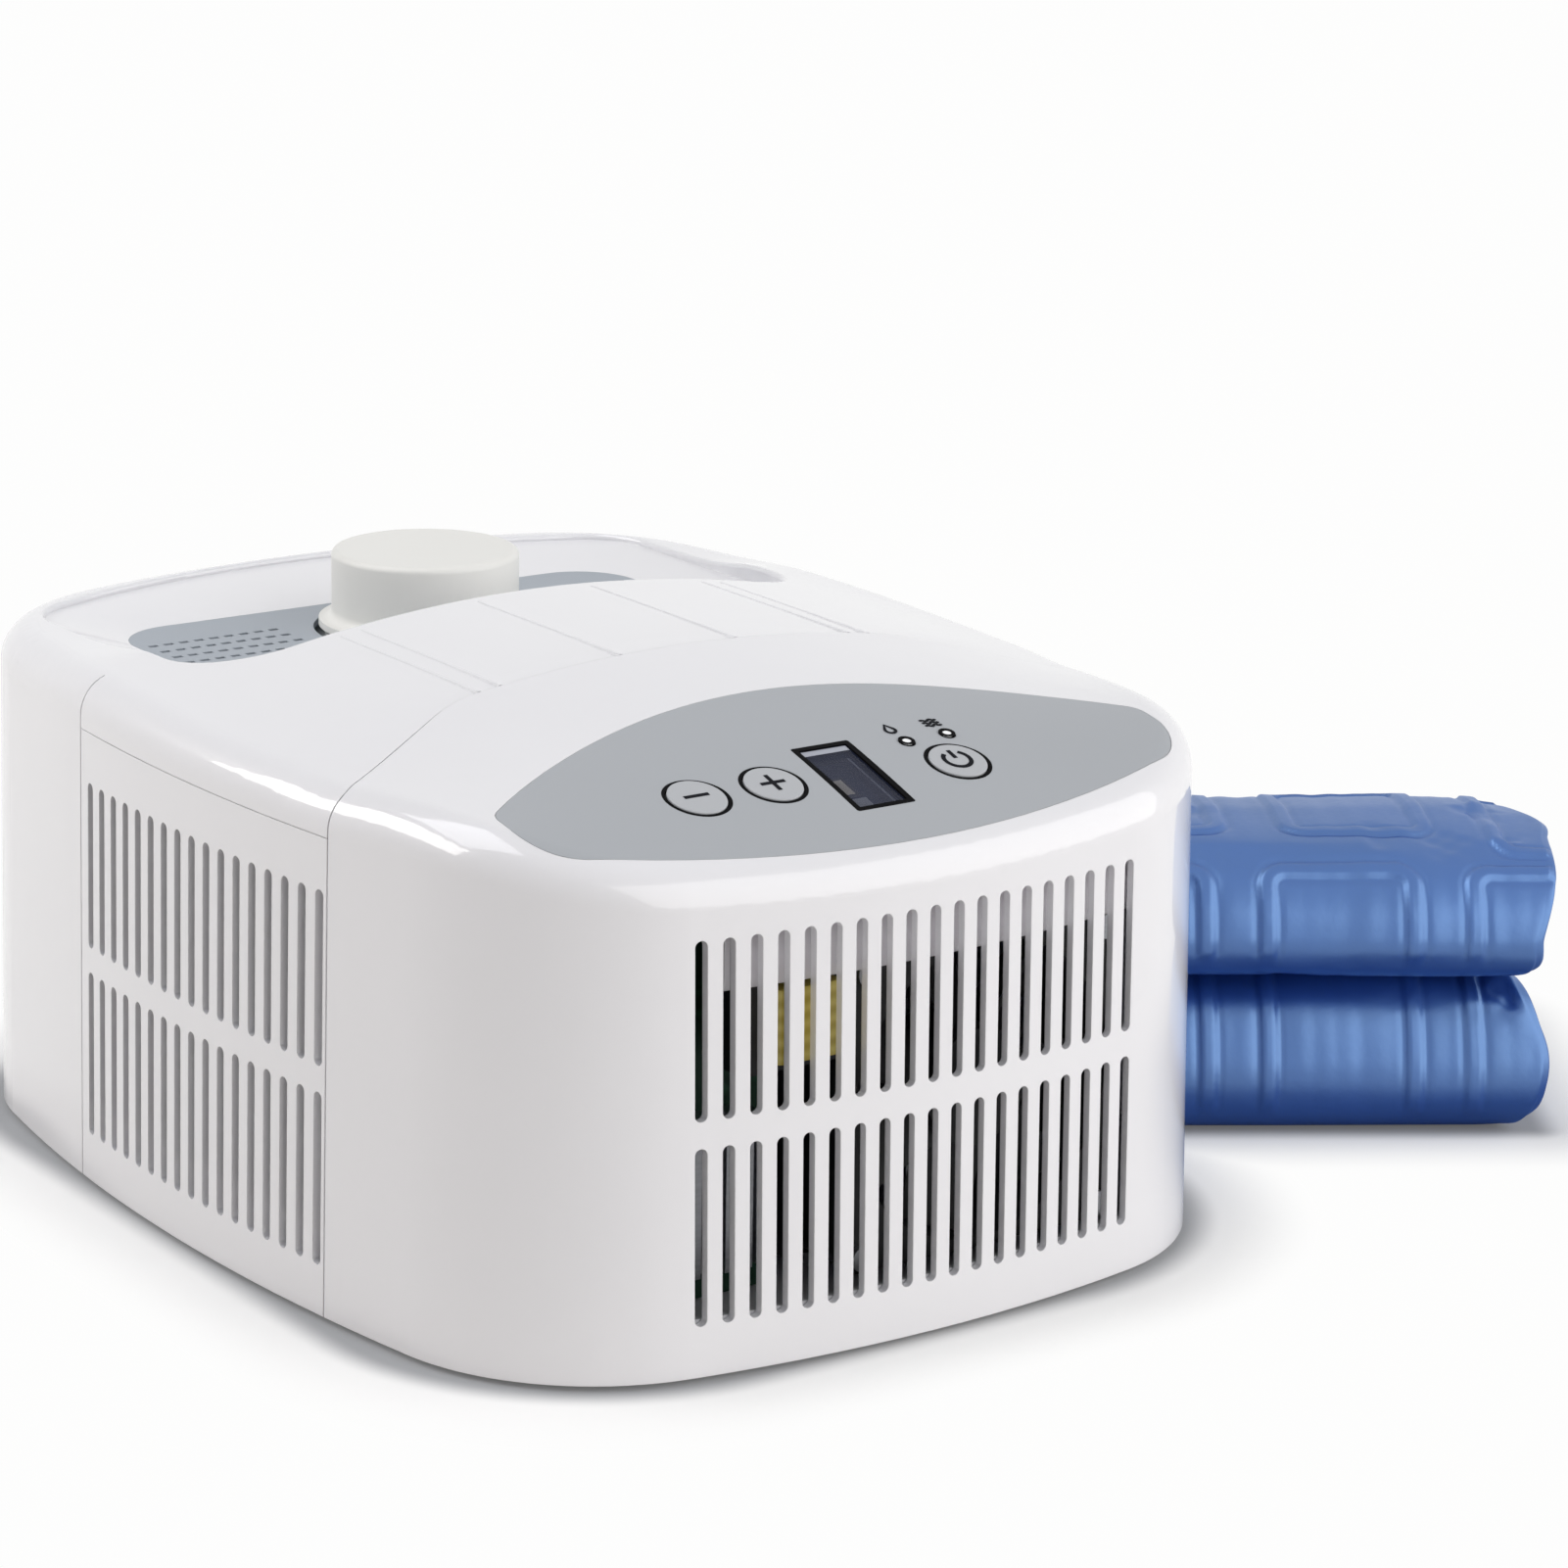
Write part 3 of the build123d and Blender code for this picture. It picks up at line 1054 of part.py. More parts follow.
def make_connectors():
    """Two hose connectors and the power inlet on the rear wall."""
    skin = leaning_prism(0, 0, HOOD_HEIGHT)
    inside = leaning_prism(WALL, 0, HOOD_HEIGHT)
    connectors = []
    for x in (SUPPLY_X, RETURN_X):
        wall_y = rear_wall_y(x, CONNECTOR_Z)
        inner = connector_inner_y(x)
        flange_y = wall_y + CONNECTOR_FLANGE
        flange = along_y(x, CONNECTOR_Z, CONNECTOR_FLANGE_RADIUS, wall_y - 2 * WALL, flange_y) - skin
        neck = along_y(x, CONNECTOR_Z, CONNECTOR_NECK_RADIUS, wall_y - WALL, flange_y)
        nut = along_y(x, CONNECTOR_Z, CONNECTOR_FLANGE_RADIUS, inner, wall_y) & inside
        barb = along_y(x, CONNECTOR_Z, BARB_RADIUS, inner - BARB_REACH, inner)
        nose_end = flange_y + CONNECTOR_NOSE
        nose = along_y(x, CONNECTOR_Z, CONNECTOR_NOSE_RADIUS, wall_y, nose_end)
        body = flange + neck + nut + barb + nose
        body -= along_y(x, CONNECTOR_Z, BARB_BORE_RADIUS, inner - BARB_REACH - OVERCUT, nose_end + OVERCUT)
        connectors.append(solid_of(body))
    keep("hose_connectors", *connectors)

    wall_y = rear_wall_y(INLET_X, INLET_Z)
    front = wall_y + INLET_FLANGE_THICKNESS
    place = Pos(INLET_X, front, INLET_Z) * Rot(90, 0, 0)
    rim = RectangleRounded(*INLET_FLANGE, INLET_CORNER)
    flange = place * extrude(rim, 2 * WALL + INLET_FLANGE_THICKNESS) - skin
    body = place * extrude(Rectangle(*INLET_SIZE), INLET_DEPTH)
    inlet = flange + body
    pocket_width, pocket_height, pocket_depth = INLET_POCKET
    inlet -= place * extrude(RectangleRounded(pocket_width, pocket_height, INLET_CORNER), pocket_depth)
    pin_width, pin_height, pin_length = INLET_PIN
    for i, shift in enumerate(INLET_PIN_SHIFTS):
        pin_place = place * Pos((i - 1) * INLET_PIN_PITCH, shift, pocket_depth - pin_length)
        inlet += pin_place * extrude(Rectangle(pin_width, pin_height), pin_length + OVERCUT)
    keep("power_inlet", solid_of(inlet))


def make_electrics():
    """Upright power board with its transformer and main parts, seen through the front slots."""
    front = POWER_BOARD_Y
    board = span_box(POWER_BOARD_X, (front, front + POWER_BOARD_THICKNESS), POWER_BOARD_Z)
    keep("power_board", board)
    wind_y = (front - WINDING_DEPTH, front)
    winding = span_box(WINDING_X, wind_y, WINDING_Z)
    middle = (wind_y[0] + wind_y[1]) / 2
    core_y = (middle - CORE_DEPTH / 2, middle + CORE_DEPTH / 2)
    frame_x = (WINDING_X[0] - CORE_LEG, WINDING_X[1] + CORE_LEG)
    frame_z = (WINDING_Z[0] - CORE_LEG, WINDING_Z[1] + CORE_LEG)
    window = span_box(WINDING_X, (core_y[0] - OVERCUT, core_y[1] + OVERCUT), WINDING_Z)
    keep("transformer_core", solid_of(span_box(frame_x, core_y, frame_z) - window))
    keep("transformer_winding", fillet(winding.edges().filter_by(Axis.Z), WINDING_EDGE))
    cans = []
    for x, z, radius, length in CAPACITORS:
        can = along_y(x, z, radius, front - length, front)
        cans.append(solid_of(fillet(can.edges().sort_by(Axis.Y)[:1], CAPACITOR_EDGE)))
    keep("capacitors", *cans)
    block_front = front - COOLING_BLOCK_DEPTH
    block = span_box(COOLING_BLOCK_X, (block_front, front), COOLING_BLOCK_Z)
    left, right = COOLING_BLOCK_X
    fin = (right - left - COOLING_GROOVES * COOLING_GROOVE) / (COOLING_GROOVES + 1)
    groove_z = (COOLING_BLOCK_Z[0] - OVERCUT, COOLING_BLOCK_Z[1] + OVERCUT)
    for i in range(COOLING_GROOVES):
        x = left + fin + i * (fin + COOLING_GROOVE)
        block -= span_box((x, x + COOLING_GROOVE), (block_front - OVERCUT, front - COOLING_WEB), groove_z)
    keep("cooling_block", solid_of(block))


# Folded pad


def pad_plane(along):
    """Plane across the pad at a distance along it, with X to the back and Y up."""
    angle = math.radians(PAD_ANGLE)
    run = Vector(math.cos(angle), math.sin(angle), 0)
    back = Vector(-math.sin(angle), math.cos(angle), 0)
    return Plane(origin=Vector(*PAD_LEFT, 0) + run * along, x_dir=back, z_dir=run)


def pad_section(scale):
    """Section across the two folded bundles, drawn in towards its middle by scale."""
    def at(point):
        return tuple(middle + (value - middle) * scale for value, middle in zip(point, PAD_MIDDLE))
    foot_back = (at(PAD_FOOT_BACK)[0], PAD_FOOT_BACK[1])
    foot_front = (at(PAD_FOOT_FRONT)[0], PAD_FOOT_FRONT[1])
    with BuildSketch() as section:
        with BuildLine():
            Line(foot_back, foot_front)
            ThreePointArc(foot_front, at(PAD_LOWER_BULGE), at(PAD_PINCH_LOW))
            Polyline(at(PAD_PINCH_LOW), at(PAD_SLIT_END), at(PAD_PINCH_HIGH))
            ThreePointArc(at(PAD_PINCH_HIGH), at(PAD_UPPER_BULGE), at(PAD_TOP_FRONT))
            ThreePointArc(at(PAD_TOP_FRONT), at(PAD_TOP_CREST), at(PAD_TOP_BACK))
            ThreePointArc(at(PAD_TOP_BACK), at(PAD_BACK_SHOULDER), at(PAD_BACK_TOP))
            ThreePointArc(at(PAD_BACK_TOP), at(PAD_BACK_BULGE), foot_back)
        make_face()
    return section.sketch


def weld_cutter(along, *points):
    """A round groove up the front of one bundle, where two films are welded together."""
    path = pad_plane(along) * ThreePointArc(*points)
    profile = Plane(origin=path @ 0, z_dir=path % 0) * Circle(PAD_WELD_RADIUS)
    return sweep(profile, path=path)


def make_pad():
    """The water pad, folded lengthwise into two bundles joined along the back."""
    stations = [
        (0, PAD_END_TAPER),
        (PAD_END_RUN, 1.0),
        (PAD_LENGTH - PAD_END_RUN, 1.0),
        (PAD_LENGTH, PAD_END_TAPER),
    ]
    pad = loft([pad_plane(along) * pad_section(scale) for along, scale in stations], ruled=True)
    for along in PAD_LOWER_WELDS:
        pad -= weld_cutter(along, PAD_FOOT_FRONT, PAD_LOWER_BULGE, PAD_PINCH_LOW)
    for along in PAD_UPPER_WELDS:
        pad -= weld_cutter(along, PAD_PINCH_HIGH, PAD_UPPER_BULGE, PAD_TOP_FRONT)
    keep("water_pad", solid_of(pad))


def main():
    front_outer = envelope(front_top, 0)
    front_inner = envelope(front_top, WALL)
    make_front(front_outer, front_inner)
    make_keys(front_outer)
    make_top(envelope(rear_top, 0), envelope(rear_top, WALL))
    make_side_panels()
    make_base()
    make_tank()
    make_cap()
    make_fan()
    make_radiator()
    make_pump()
    make_hoses()
    make_connectors()
    make_electrics()
    make_pad()
    os.makedirs("parts", exist_ok=True)
    for name, solids in NODES.items():
        export_step(Compound(solids) if len(solids) > 1 else solids[0], f"parts/{name}.step")
        print(name, len(solids), [round(s.volume) for s in solids][:6])


main()
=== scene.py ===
import json
import math

import bmesh
import bpy
import numpy as np
from bpy.props import FloatProperty, FloatVectorProperty, IntProperty, PointerProperty
from mathutils import Matrix, Vector, noise

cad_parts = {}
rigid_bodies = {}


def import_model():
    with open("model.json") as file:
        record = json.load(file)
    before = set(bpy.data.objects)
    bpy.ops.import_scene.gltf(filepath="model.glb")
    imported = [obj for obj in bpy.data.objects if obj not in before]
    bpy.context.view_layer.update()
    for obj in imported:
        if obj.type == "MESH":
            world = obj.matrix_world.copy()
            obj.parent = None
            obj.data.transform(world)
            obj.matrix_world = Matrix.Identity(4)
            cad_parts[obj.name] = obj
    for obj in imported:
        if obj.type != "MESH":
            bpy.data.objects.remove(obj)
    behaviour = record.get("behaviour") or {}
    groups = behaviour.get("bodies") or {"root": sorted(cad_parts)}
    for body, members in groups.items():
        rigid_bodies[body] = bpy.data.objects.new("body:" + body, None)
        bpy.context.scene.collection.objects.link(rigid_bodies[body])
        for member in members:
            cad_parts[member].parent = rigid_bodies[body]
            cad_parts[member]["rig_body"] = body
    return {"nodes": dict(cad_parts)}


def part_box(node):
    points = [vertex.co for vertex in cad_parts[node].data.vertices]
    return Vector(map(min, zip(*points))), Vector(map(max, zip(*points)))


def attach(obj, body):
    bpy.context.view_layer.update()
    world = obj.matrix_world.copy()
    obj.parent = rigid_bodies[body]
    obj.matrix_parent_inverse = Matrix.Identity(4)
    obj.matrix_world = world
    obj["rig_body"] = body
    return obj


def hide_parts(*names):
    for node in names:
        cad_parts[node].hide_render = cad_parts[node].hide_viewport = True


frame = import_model()

bl_info = {
    "name": "Water cooling pad looks",
    "version": (1, 0, 0),
    "blender": (4, 5, 0),
    "location": "View3D > Sidebar > Water Pad",
    "description": "Finishes the cooling unit and models its folded water pad",
    "category": "Object",
}

MM = 0.001
PHOTO_SIDE = 1601


def seen(red, green, blue):
    """A colour as it looks on screen, 0 to 255, in scene linear values."""
    def linear(value):
        share = value / 255
        return share / 12.92 if share <= 0.04045 else ((share + 0.055) / 1.055) ** 2.4
    return (linear(red), linear(green), linear(blue))


# Shader expressions


class Wire:
    """A socket or a plain number in a shader, used in Python expressions."""

    def __init__(self, paint, socket):
        self.paint = paint
        self.socket = socket

    def join(self, operation, *others):
        values = dict(enumerate((self, *others)))
        return self.paint.node("ShaderNodeMath", {"operation": operation}, values)

    def __add__(self, other):
        return self.join("ADD", other)

    def __sub__(self, other):
        return self.join("SUBTRACT", other)

    def __mul__(self, other):
        return self.join("MULTIPLY", other)

    __radd__ = __add__
    __rmul__ = __mul__


class Paint:
    """A procedural material, or a world, under construction."""

    def __init__(self, name, world=False):
        self.material = (bpy.data.worlds if world else bpy.data.materials).new(name)
        self.end = "ShaderNodeOutputWorld" if world else "ShaderNodeOutputMaterial"
        self.material.use_nodes = True
        self.nodes = self.material.node_tree.nodes
        self.links = self.material.node_tree.links
        self.nodes.clear()

    def node(self, kind, settings=None, values=None, output=0):
        """Adds a node, sets it up, fills or links its sockets and returns one of its outputs."""
        made = self.nodes.new(kind)
        for key, setting in (settings or {}).items():
            if key == "stops":
                self.set_stops(made.color_ramp, setting)
            else:
                setattr(made, key, setting)
        for key, value in (values or {}).items():
            socket = made.inputs[key] if isinstance(key, int) else self.open_socket(made, key)
            if isinstance(value, Wire):
                self.links.new(value.socket, socket)
            else:
                socket.default_value = value
        return Wire(self, made.outputs[output]) if made.outputs else None

    def open_socket(self, made, name):
        return next(s for s in made.inputs if s.name == name and s.enabled)

    def set_stops(self, ramp, stops):
        while len(ramp.elements) < len(stops):
            ramp.elements.new(1.0)
        for element, (place, shade) in zip(ramp.elements, stops):
            element.position = place
            element.color = (shade, shade, shade, 1)

    def place(self):
        return self.node("ShaderNodeTexCoord", output="Object")

    def cloud(self, size, detail):
        """Smooth noise from 0 to 1 whose lumps are about size metres across."""
        values = {"Vector": self.place(), "Scale": 1 / size, "Detail": detail}
        return self.node("ShaderNodeTexNoise", None, values, "Fac")

    def between(self, share, first, second):
        """A colour that goes from first to second with share."""
        values = {"Factor": share, "A": (*first, 1), "B": (*second, 1)}
        return self.node("ShaderNodeMix", {"data_type": "RGBA"}, values, 2)

    def bump(self, height, depth, round_edges=0.0):
        """A normal from a height of 0 to 1 that stands depth metres tall."""
        values = {"Strength": 1.0, "Distance": depth, "Height": height}
        if round_edges:
            values["Normal"] = self.node("ShaderNodeBevel", {"samples": 4}, {"Radius": round_edges})
        return self.node("ShaderNodeBump", None, values)

    def finish(self, **sockets):
        """Closes the material with a principled shader; keys are its socket names with underscores."""
        values = {key.replace("_", " "): value for key, value in sockets.items()}
        shader = self.node("ShaderNodeBsdfPrincipled", None, values)
        self.node_output(shader)
        return self.material

    def node_output(self, shader):
        self.node(self.end, None, {"Surface": shader})

    def mix(self, share, first, second):
        """A shader that goes from first to second with share."""
        return self.node("ShaderNodeMixShader", None, {0: share, 1: first, 2: second})

    def looked_at(self, mirrored=1.0):
        """1 on what the camera sees directly or through glass, mirrored on what it sees in gloss."""
        kinds = ("Is Camera Ray", "Is Glossy Ray", "Is Transmission Ray")
        camera, glossy, through = (self.node("ShaderNodeLightPath", None, None, kind) for kind in kinds)
        return camera + through + glossy * mirrored

    def ramp(self, value, start, end):
        """0 below start, 1 beyond end and smooth between."""
        values = {"Value": value, "From Min": start, "From Max": end}
        return self.node("ShaderNodeMapRange", {"interpolation_type": "SMOOTHSTEP"}, values)


# Pieces


def dress(material, *names):
    """Gives CAD nodes their material."""
    for name in names:
        piece = frame["nodes"][name]
        piece.data.materials.clear()
        piece.data.materials.append(material)


def mesh_piece(name, made):
    """An object in the scene from a bmesh."""
    bmesh.ops.recalc_face_normals(made, faces=made.faces[:])
    mesh = bpy.data.meshes.new(name)
    made.to_mesh(mesh)
    made.free()
    piece = bpy.data.objects.new(name, mesh)
    bpy.context.scene.collection.objects.link(piece)
    return piece


# Least upward share in the normal of a top face
FACES_UP = 0.9


def tilted_axes(node):
    """Right, up and outward directions of a piece in the sloping fascia, from its top faces."""
    outward = Vector()
    for face in frame["nodes"][node].data.polygons:
        if face.area > 0 and face.normal.z > FACES_UP:
            outward += face.normal * face.area
    outward.normalize()
    right = Vector((1, 0, 0))
    return right, outward.cross(right), outward


def top_middle(node, outward):
    """Middle of a piece's box, moved outward to the piece's top."""
    low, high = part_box(node)
    middle = (low + high) / 2
    top = max(Vector(v.co).dot(outward) for v in frame["nodes"][node].data.vertices)
    return middle + outward * (top - middle.dot(outward))


def laid_sheet(name, made, height, middle, axes, material):
    """A flat bmesh made into a sheet of some height and laid at a point, turned to three axes."""
    body = bmesh.ops.extrude_face_region(made, geom=made.faces[:])
    raised = [e for e in body["geom"] if isinstance(e, bmesh.types.BMVert)]
    bmesh.ops.translate(made, verts=raised, vec=(0, 0, height))
    made.transform(Matrix.Translation(middle) @ Matrix(axes).transposed().to_4x4())
    piece = mesh_piece(name, made)
    piece.data.materials.append(material)
    return piece


# Sizes and colours that a user would change


FINE_RIPPLE = 0.004 * MM


class WATERPAD_PG_shells(bpy.types.PropertyGroup):
    colour: FloatVectorProperty(
        name="White", description="Glossy white of the covers", subtype="COLOR", size=3,
        default=seen(231, 231, 235),
    )
    base: FloatVectorProperty(
        name="Base", description="Light grey of the tray", subtype="COLOR", size=3,
        default=seen(196, 197, 200),
    )
    cap: FloatVectorProperty(
        name="Cap", description="Warm white of the filler cap", subtype="COLOR", size=3,
        default=seen(236, 236, 232),
    )
    dish: FloatVectorProperty(
        name="Dish plate", description="Grey of the perforated plate", subtype="COLOR", size=3,
        default=seen(160, 168, 177),
    )
    roughness: FloatProperty(
        name="Roughness", description="How dull the covers are", default=0.3, min=0.0, max=1.0,
        subtype="FACTOR",
    )
    ripple: FloatProperty(
        name="Ripple", description="Depth of the moulded surface's ripple", default=FINE_RIPPLE,
        subtype="DISTANCE", precision=6,
    )


class WATERPAD_PG_panel(bpy.types.PropertyGroup):
    colour: FloatVectorProperty(
        name="Panel", description="Grey of the control panel", subtype="COLOR", size=3,
        default=seen(165, 169, 174),
    )
    keys: FloatVectorProperty(
        name="Keys", description="Grey of the key caps", subtype="COLOR", size=3,
        default=seen(176, 179, 183),
    )
    ink: FloatVectorProperty(
        name="Ink", description="Dark ink of the symbols", subtype="COLOR", size=3,
        default=seen(26, 27, 31),
    )
    mark_width: FloatProperty(
        name="Line", description="Width of a symbol's line", default=1.35 * MM, subtype="DISTANCE",
        precision=5,
    )
    mark_size: FloatProperty(
        name="Symbol", description="Height of a key's symbol", default=8.0 * MM, subtype="DISTANCE",
        precision=4,
    )
    ink_height: FloatProperty(
        name="Ink height", description="How far the ink stands up", default=0.05 * MM,
        subtype="DISTANCE", precision=6,
    )
    collar: FloatProperty(
        name="Lamp collar", description="Outer radius of the dark ring round a light",
        default=2.45 * MM, subtype="DISTANCE", precision=5,
    )
    collar_width: FloatProperty(
        name="Collar width", description="Width of that ring", default=1.1 * MM, subtype="DISTANCE",
        precision=5,
    )
    label_size: FloatProperty(
        name="Label", description="Size of the mark beside a light", default=5.2 * MM,
        subtype="DISTANCE", precision=5,
    )
    label_width: FloatProperty(
        name="Label line", description="Width of that mark's line", default=0.9 * MM,
        subtype="DISTANCE", precision=5,
    )
    label_offset: FloatVectorProperty(
        name="Label offset", description="Where the mark lies from its light", size=2,
        default=(-0.8 * MM, 6.8 * MM), precision=5,
    )


class WATERPAD_PG_pad(bpy.types.PropertyGroup):
    colour: FloatVectorProperty(
        name="Film", description="Blue of the pad's film", subtype="COLOR", size=3,
        default=(0.016, 0.062, 0.32),
    )
    # The film's colour drifts at random between this darker blue and the blue above; it is not laid
    # into the grooves
    shade: FloatVectorProperty(
        name="Deep film", description="Blue of the film in its grooves", subtype="COLOR", size=3,
        default=(0.011, 0.043, 0.23),
    )
    pressure: FloatProperty(
        name="Pressure", description="Pressure that swells the film", default=4.0, min=0.0,
    )
    swell: FloatProperty(
        name="Most swelling", description="How far a point may swell", default=1.3 * MM,
        subtype="DISTANCE", precision=4,
    )
    channel: FloatProperty(
        name="Channel height", description="How far a welded channel stands up", default=0.8 * MM,
        subtype="DISTANCE", precision=5,
    )
    layers: IntProperty(
        name="Layers", description="Folded layers seen at the ends of each bundle", default=4, min=1,
    )
    lip: FloatProperty(
        name="Layer groove", description="Depth of the gaps between the layers at the ends",
        default=3.0 * MM, subtype="DISTANCE", precision=5,
    )


class WATERPAD_PG_stage(bpy.types.PropertyGroup):
    floor: FloatProperty(
        name="Floor", description="Radius of the floor", default=6.0, subtype="DISTANCE",
    )
    left: FloatProperty(
        name="Left light", description="Power of the light at the left", default=12.0, subtype="POWER",
    )
    front: FloatProperty(
        name="Front light", description="Power of the light in front", default=24.5, subtype="POWER",
    )
    top: FloatProperty(
        name="Top light", description="Power of the light overhead", default=9.5, subtype="POWER",
    )
    sky: FloatProperty(
        name="Surroundings", description="Strength of the white surroundings", default=0.03,
    )
    front_sky: FloatProperty(
        name="Surroundings in front", description="Their strength towards the front", default=0.8,
    )


# Housing and its fittings


class WATERPAD_OT_shells(bpy.types.Operator):
    """Finish the white covers, the tray, the dish plate and the cap"""
    bl_idname = "waterpad.shells"
    bl_label = "Covers"

    def execute(self, context):
        looks = context.scene.waterpad_shells
        white = moulded("moulded_white", looks.colour, looks.roughness, looks.ripple, gloss=1.0)
        dress(white, "front_cover", "top_cover", "left_grille_panel", "right_grille_panel")
        dress(moulded("moulded_cap", looks.cap, 0.42, looks.ripple), "filler_cap")
        dress(moulded("moulded_dish", looks.dish, 0.45, looks.ripple), "dish_floor")
        dress(moulded("moulded_base", looks.base, 0.5, looks.ripple), "base_tray")
        return {"FINISHED"}


def moulded(name, colour, roughness, ripple, gloss=0.0, shine=0.5):
    """Moulded plastic with a faint ripple and slightly uneven roughness, gloss being its clear skin."""
    paint = Paint(name)
    mottle = paint.cloud(60 * MM, 3.0)
    grain = paint.cloud(0.6 * MM, 2.0)
    shade = [c * 0.97 for c in colour]
    return paint.finish(
        Base_Color=paint.between(mottle, shade, colour),
        Roughness=roughness + 0.06 * (mottle - 0.5) + 0.04 * (grain - 0.5),
        Specular_IOR_Level=shine,
        Coat_Weight=gloss,
        Coat_Roughness=0.03,
        Coat_IOR=1.6,
        Normal=paint.bump(grain, ripple, 0.4 * MM),
    )


class WATERPAD_OT_fixings(bpy.types.Operator):
    """Finish the screws, the rubber feet and the seal"""
    bl_idname = "waterpad.fixings"
    bl_label = "Fixings"

    def execute(self, context):
        rubber = Paint("moulded_rubber")
        grain = rubber.cloud(0.4 * MM, 3.0)
        black = rubber.finish(
            Base_Color=rubber.between(grain, seen(26, 26, 27), seen(40, 40, 42)),
            Roughness=0.7 + 0.15 * grain,
            Normal=rubber.bump(grain, 0.03 * MM),
        )
        dress(black, "rubber_feet", "cap_seal", "pump_pad")
        steel = Paint("plated_steel")
        streak = steel.cloud(0.5 * MM, 4.0)
        bright = steel.finish(
            Base_Color=steel.between(streak, seen(150, 152, 156), seen(196, 198, 202)),
            Roughness=0.25 + 0.2 * streak,
            Metallic=1.0,
            Normal=steel.bump(streak, 0.01 * MM),
        )
        dress(bright, "housing_screws", "board_screws", "fan_screws")
        return {"FINISHED"}


# Blocks seen through the display's window, the first being a pale painted highlight laid on the
# window's top along its upper edge: limits across, along and above the window's top, in millimetres,
# and colour
DISPLAY_BLOCKS = {
    # Painted highlight: a pale sheet on the window's top where the glass shows a bright streak
    "display_painted_highlight": ((-7.6, 7.6), (12.6, 14.9), (0.0, 0.05), seen(162, 166, 176)),
    "display_side_strip": ((6.3, 6.9), (-13.0, 11.4), (-1.9, -1.8), seen(170, 176, 190)),
    "display_frame": ((-6.9, -1.2), (-6.8, 3.0), (-2.0, -1.9), seen(8, 8, 10)),
    "display_block": ((-6.6, -2.4), (-5.6, 1.8), (-1.9, -1.8), seen(232, 226, 210)),
    "display_bar": ((-5.8, -0.6), (-12.4, -8.0), (-1.9, -1.8), seen(176, 182, 194)),
}


def display_contents():
    """A pale painted highlight on the display's window along its upper edge, and the small blocks under
    the window.
    """
    axes = tilted_axes("display_window")
    middle = top_middle("display_window", axes[2])
    for name, ((left, right), (near, far), (low, high), colour) in DISPLAY_BLOCKS.items():
        made = bmesh.new()
        corners = ((left, near), (right, near), (right, far), (left, far))
        made.faces.new([made.verts.new((u * MM, v * MM, low * MM)) for u, v in corners])
        piece = laid_sheet(name, made, (high - low) * MM, middle, axes, printed(name, colour, 0.5))
        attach(piece, frame["nodes"]["display_module"]["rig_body"])


def lamp_tops():
    """Middle of each indicator light's top, with its right, up and outward directions."""
    axes = tilted_axes("indicator_lights")
    points = np.array([v.co for v in frame["nodes"]["indicator_lights"].data.vertices])
    placed = points @ np.array(axes).T
    split = (placed[:, 0].min() + placed[:, 0].max()) / 2
    made = []
    for group in (placed[placed[:, 0] < split], placed[placed[:, 0] > split]):
        top = group[group[:, 2] > group[:, 2].max() - 0.1 * MM]
        centre = (*((group.min(0) + group.max(0)) / 2)[:2], top[:, 2].max())
        made.append((Vector(np.array(axes).T @ centre), axes))
    return made


class WATERPAD_OT_panel(bpy.types.Operator):
    """Finish the control panel, its display, its keys and its lights"""
    bl_idname = "waterpad.panel"
    bl_label = "Control panel"

    def execute(self, context):
        looks = context.scene.waterpad_panel
        dress(printed("printed_panel", looks.colour, 0.42), "control_panel")
        dress(printed("printed_keys", looks.keys, 0.45), "key_left", "key_middle", "key_right")
        black = moulded("moulded_black", seen(11, 11, 13), 0.5, FINE_RIPPLE, shine=0.02)
        dress(black, "display_bezel", "key_rings", "indicator_rings", "tact_switches")
        back = moulded("display_back", seen(52, 58, 82), 0.5, FINE_RIPPLE, shine=0.1)
        dress(back, "display_module")
        dress(lens_white_with_painted_glow(), "indicator_lights")
        dress(smoked_glass(), "display_window")
        display_contents()
        for i, (middle, axes) in enumerate(lamp_tops()):
            made = bmesh.new()
            circle = arc(looks.collar - looks.collar_width / 2, 0, 360)[:-1]
            strip(made, circle, looks.collar_width, closed=True)
            ring = laid_sheet(f"lamp_collar_{i}", made, looks.ink_height, middle, axes, black)
            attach(ring, frame["nodes"]["indicator_lights"]["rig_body"])
        return {"FINISHED"}


def printed(name, colour, roughness):
    """Satin film printed in one colour, with a very fine grain."""
    paint = Paint(name)
    grain = paint.cloud(0.25 * MM, 2.0)
    drift = paint.cloud(90 * MM, 1.0)
    lighter = [min(1.0, c * 1.08) for c in colour]
    return paint.finish(
        Base_Color=paint.between(0.7 * drift + 0.3 * grain, colour, lighter),
        Roughness=roughness + 0.1 * (grain - 0.5),
        Normal=paint.bump(grain, 0.004 * MM, 0.15 * MM),
    )


def lens_white_with_painted_glow():
    """Milky lens of an indicator light that is off, with a faint painted glow that lightens it."""
    paint = Paint("milky_lens_painted_glow")
    haze = paint.cloud(0.8 * MM, 1.0)
    return paint.finish(
        Base_Color=paint.between(haze, seen(228, 230, 232), seen(248, 249, 250)),
        Roughness=0.15 + 0.1 * haze,
        Coat_Weight=0.6,
        # Painted glow: the lens gives off a little light though the indicator is off
        Emission_Color=(*seen(235, 238, 242), 1),
        Emission_Strength=0.12,
    )


def smoked_glass():
    """Clear dark window over the display."""
    paint = Paint("smoked_window")
    smear = paint.cloud(6 * MM, 3.0)
    return paint.finish(
        Base_Color=paint.between(smear, seen(50, 56, 78), seen(62, 68, 92)),
        Roughness=0.04 + 0.04 * smear,
        IOR=1.3,
        Alpha=0.4,
    )


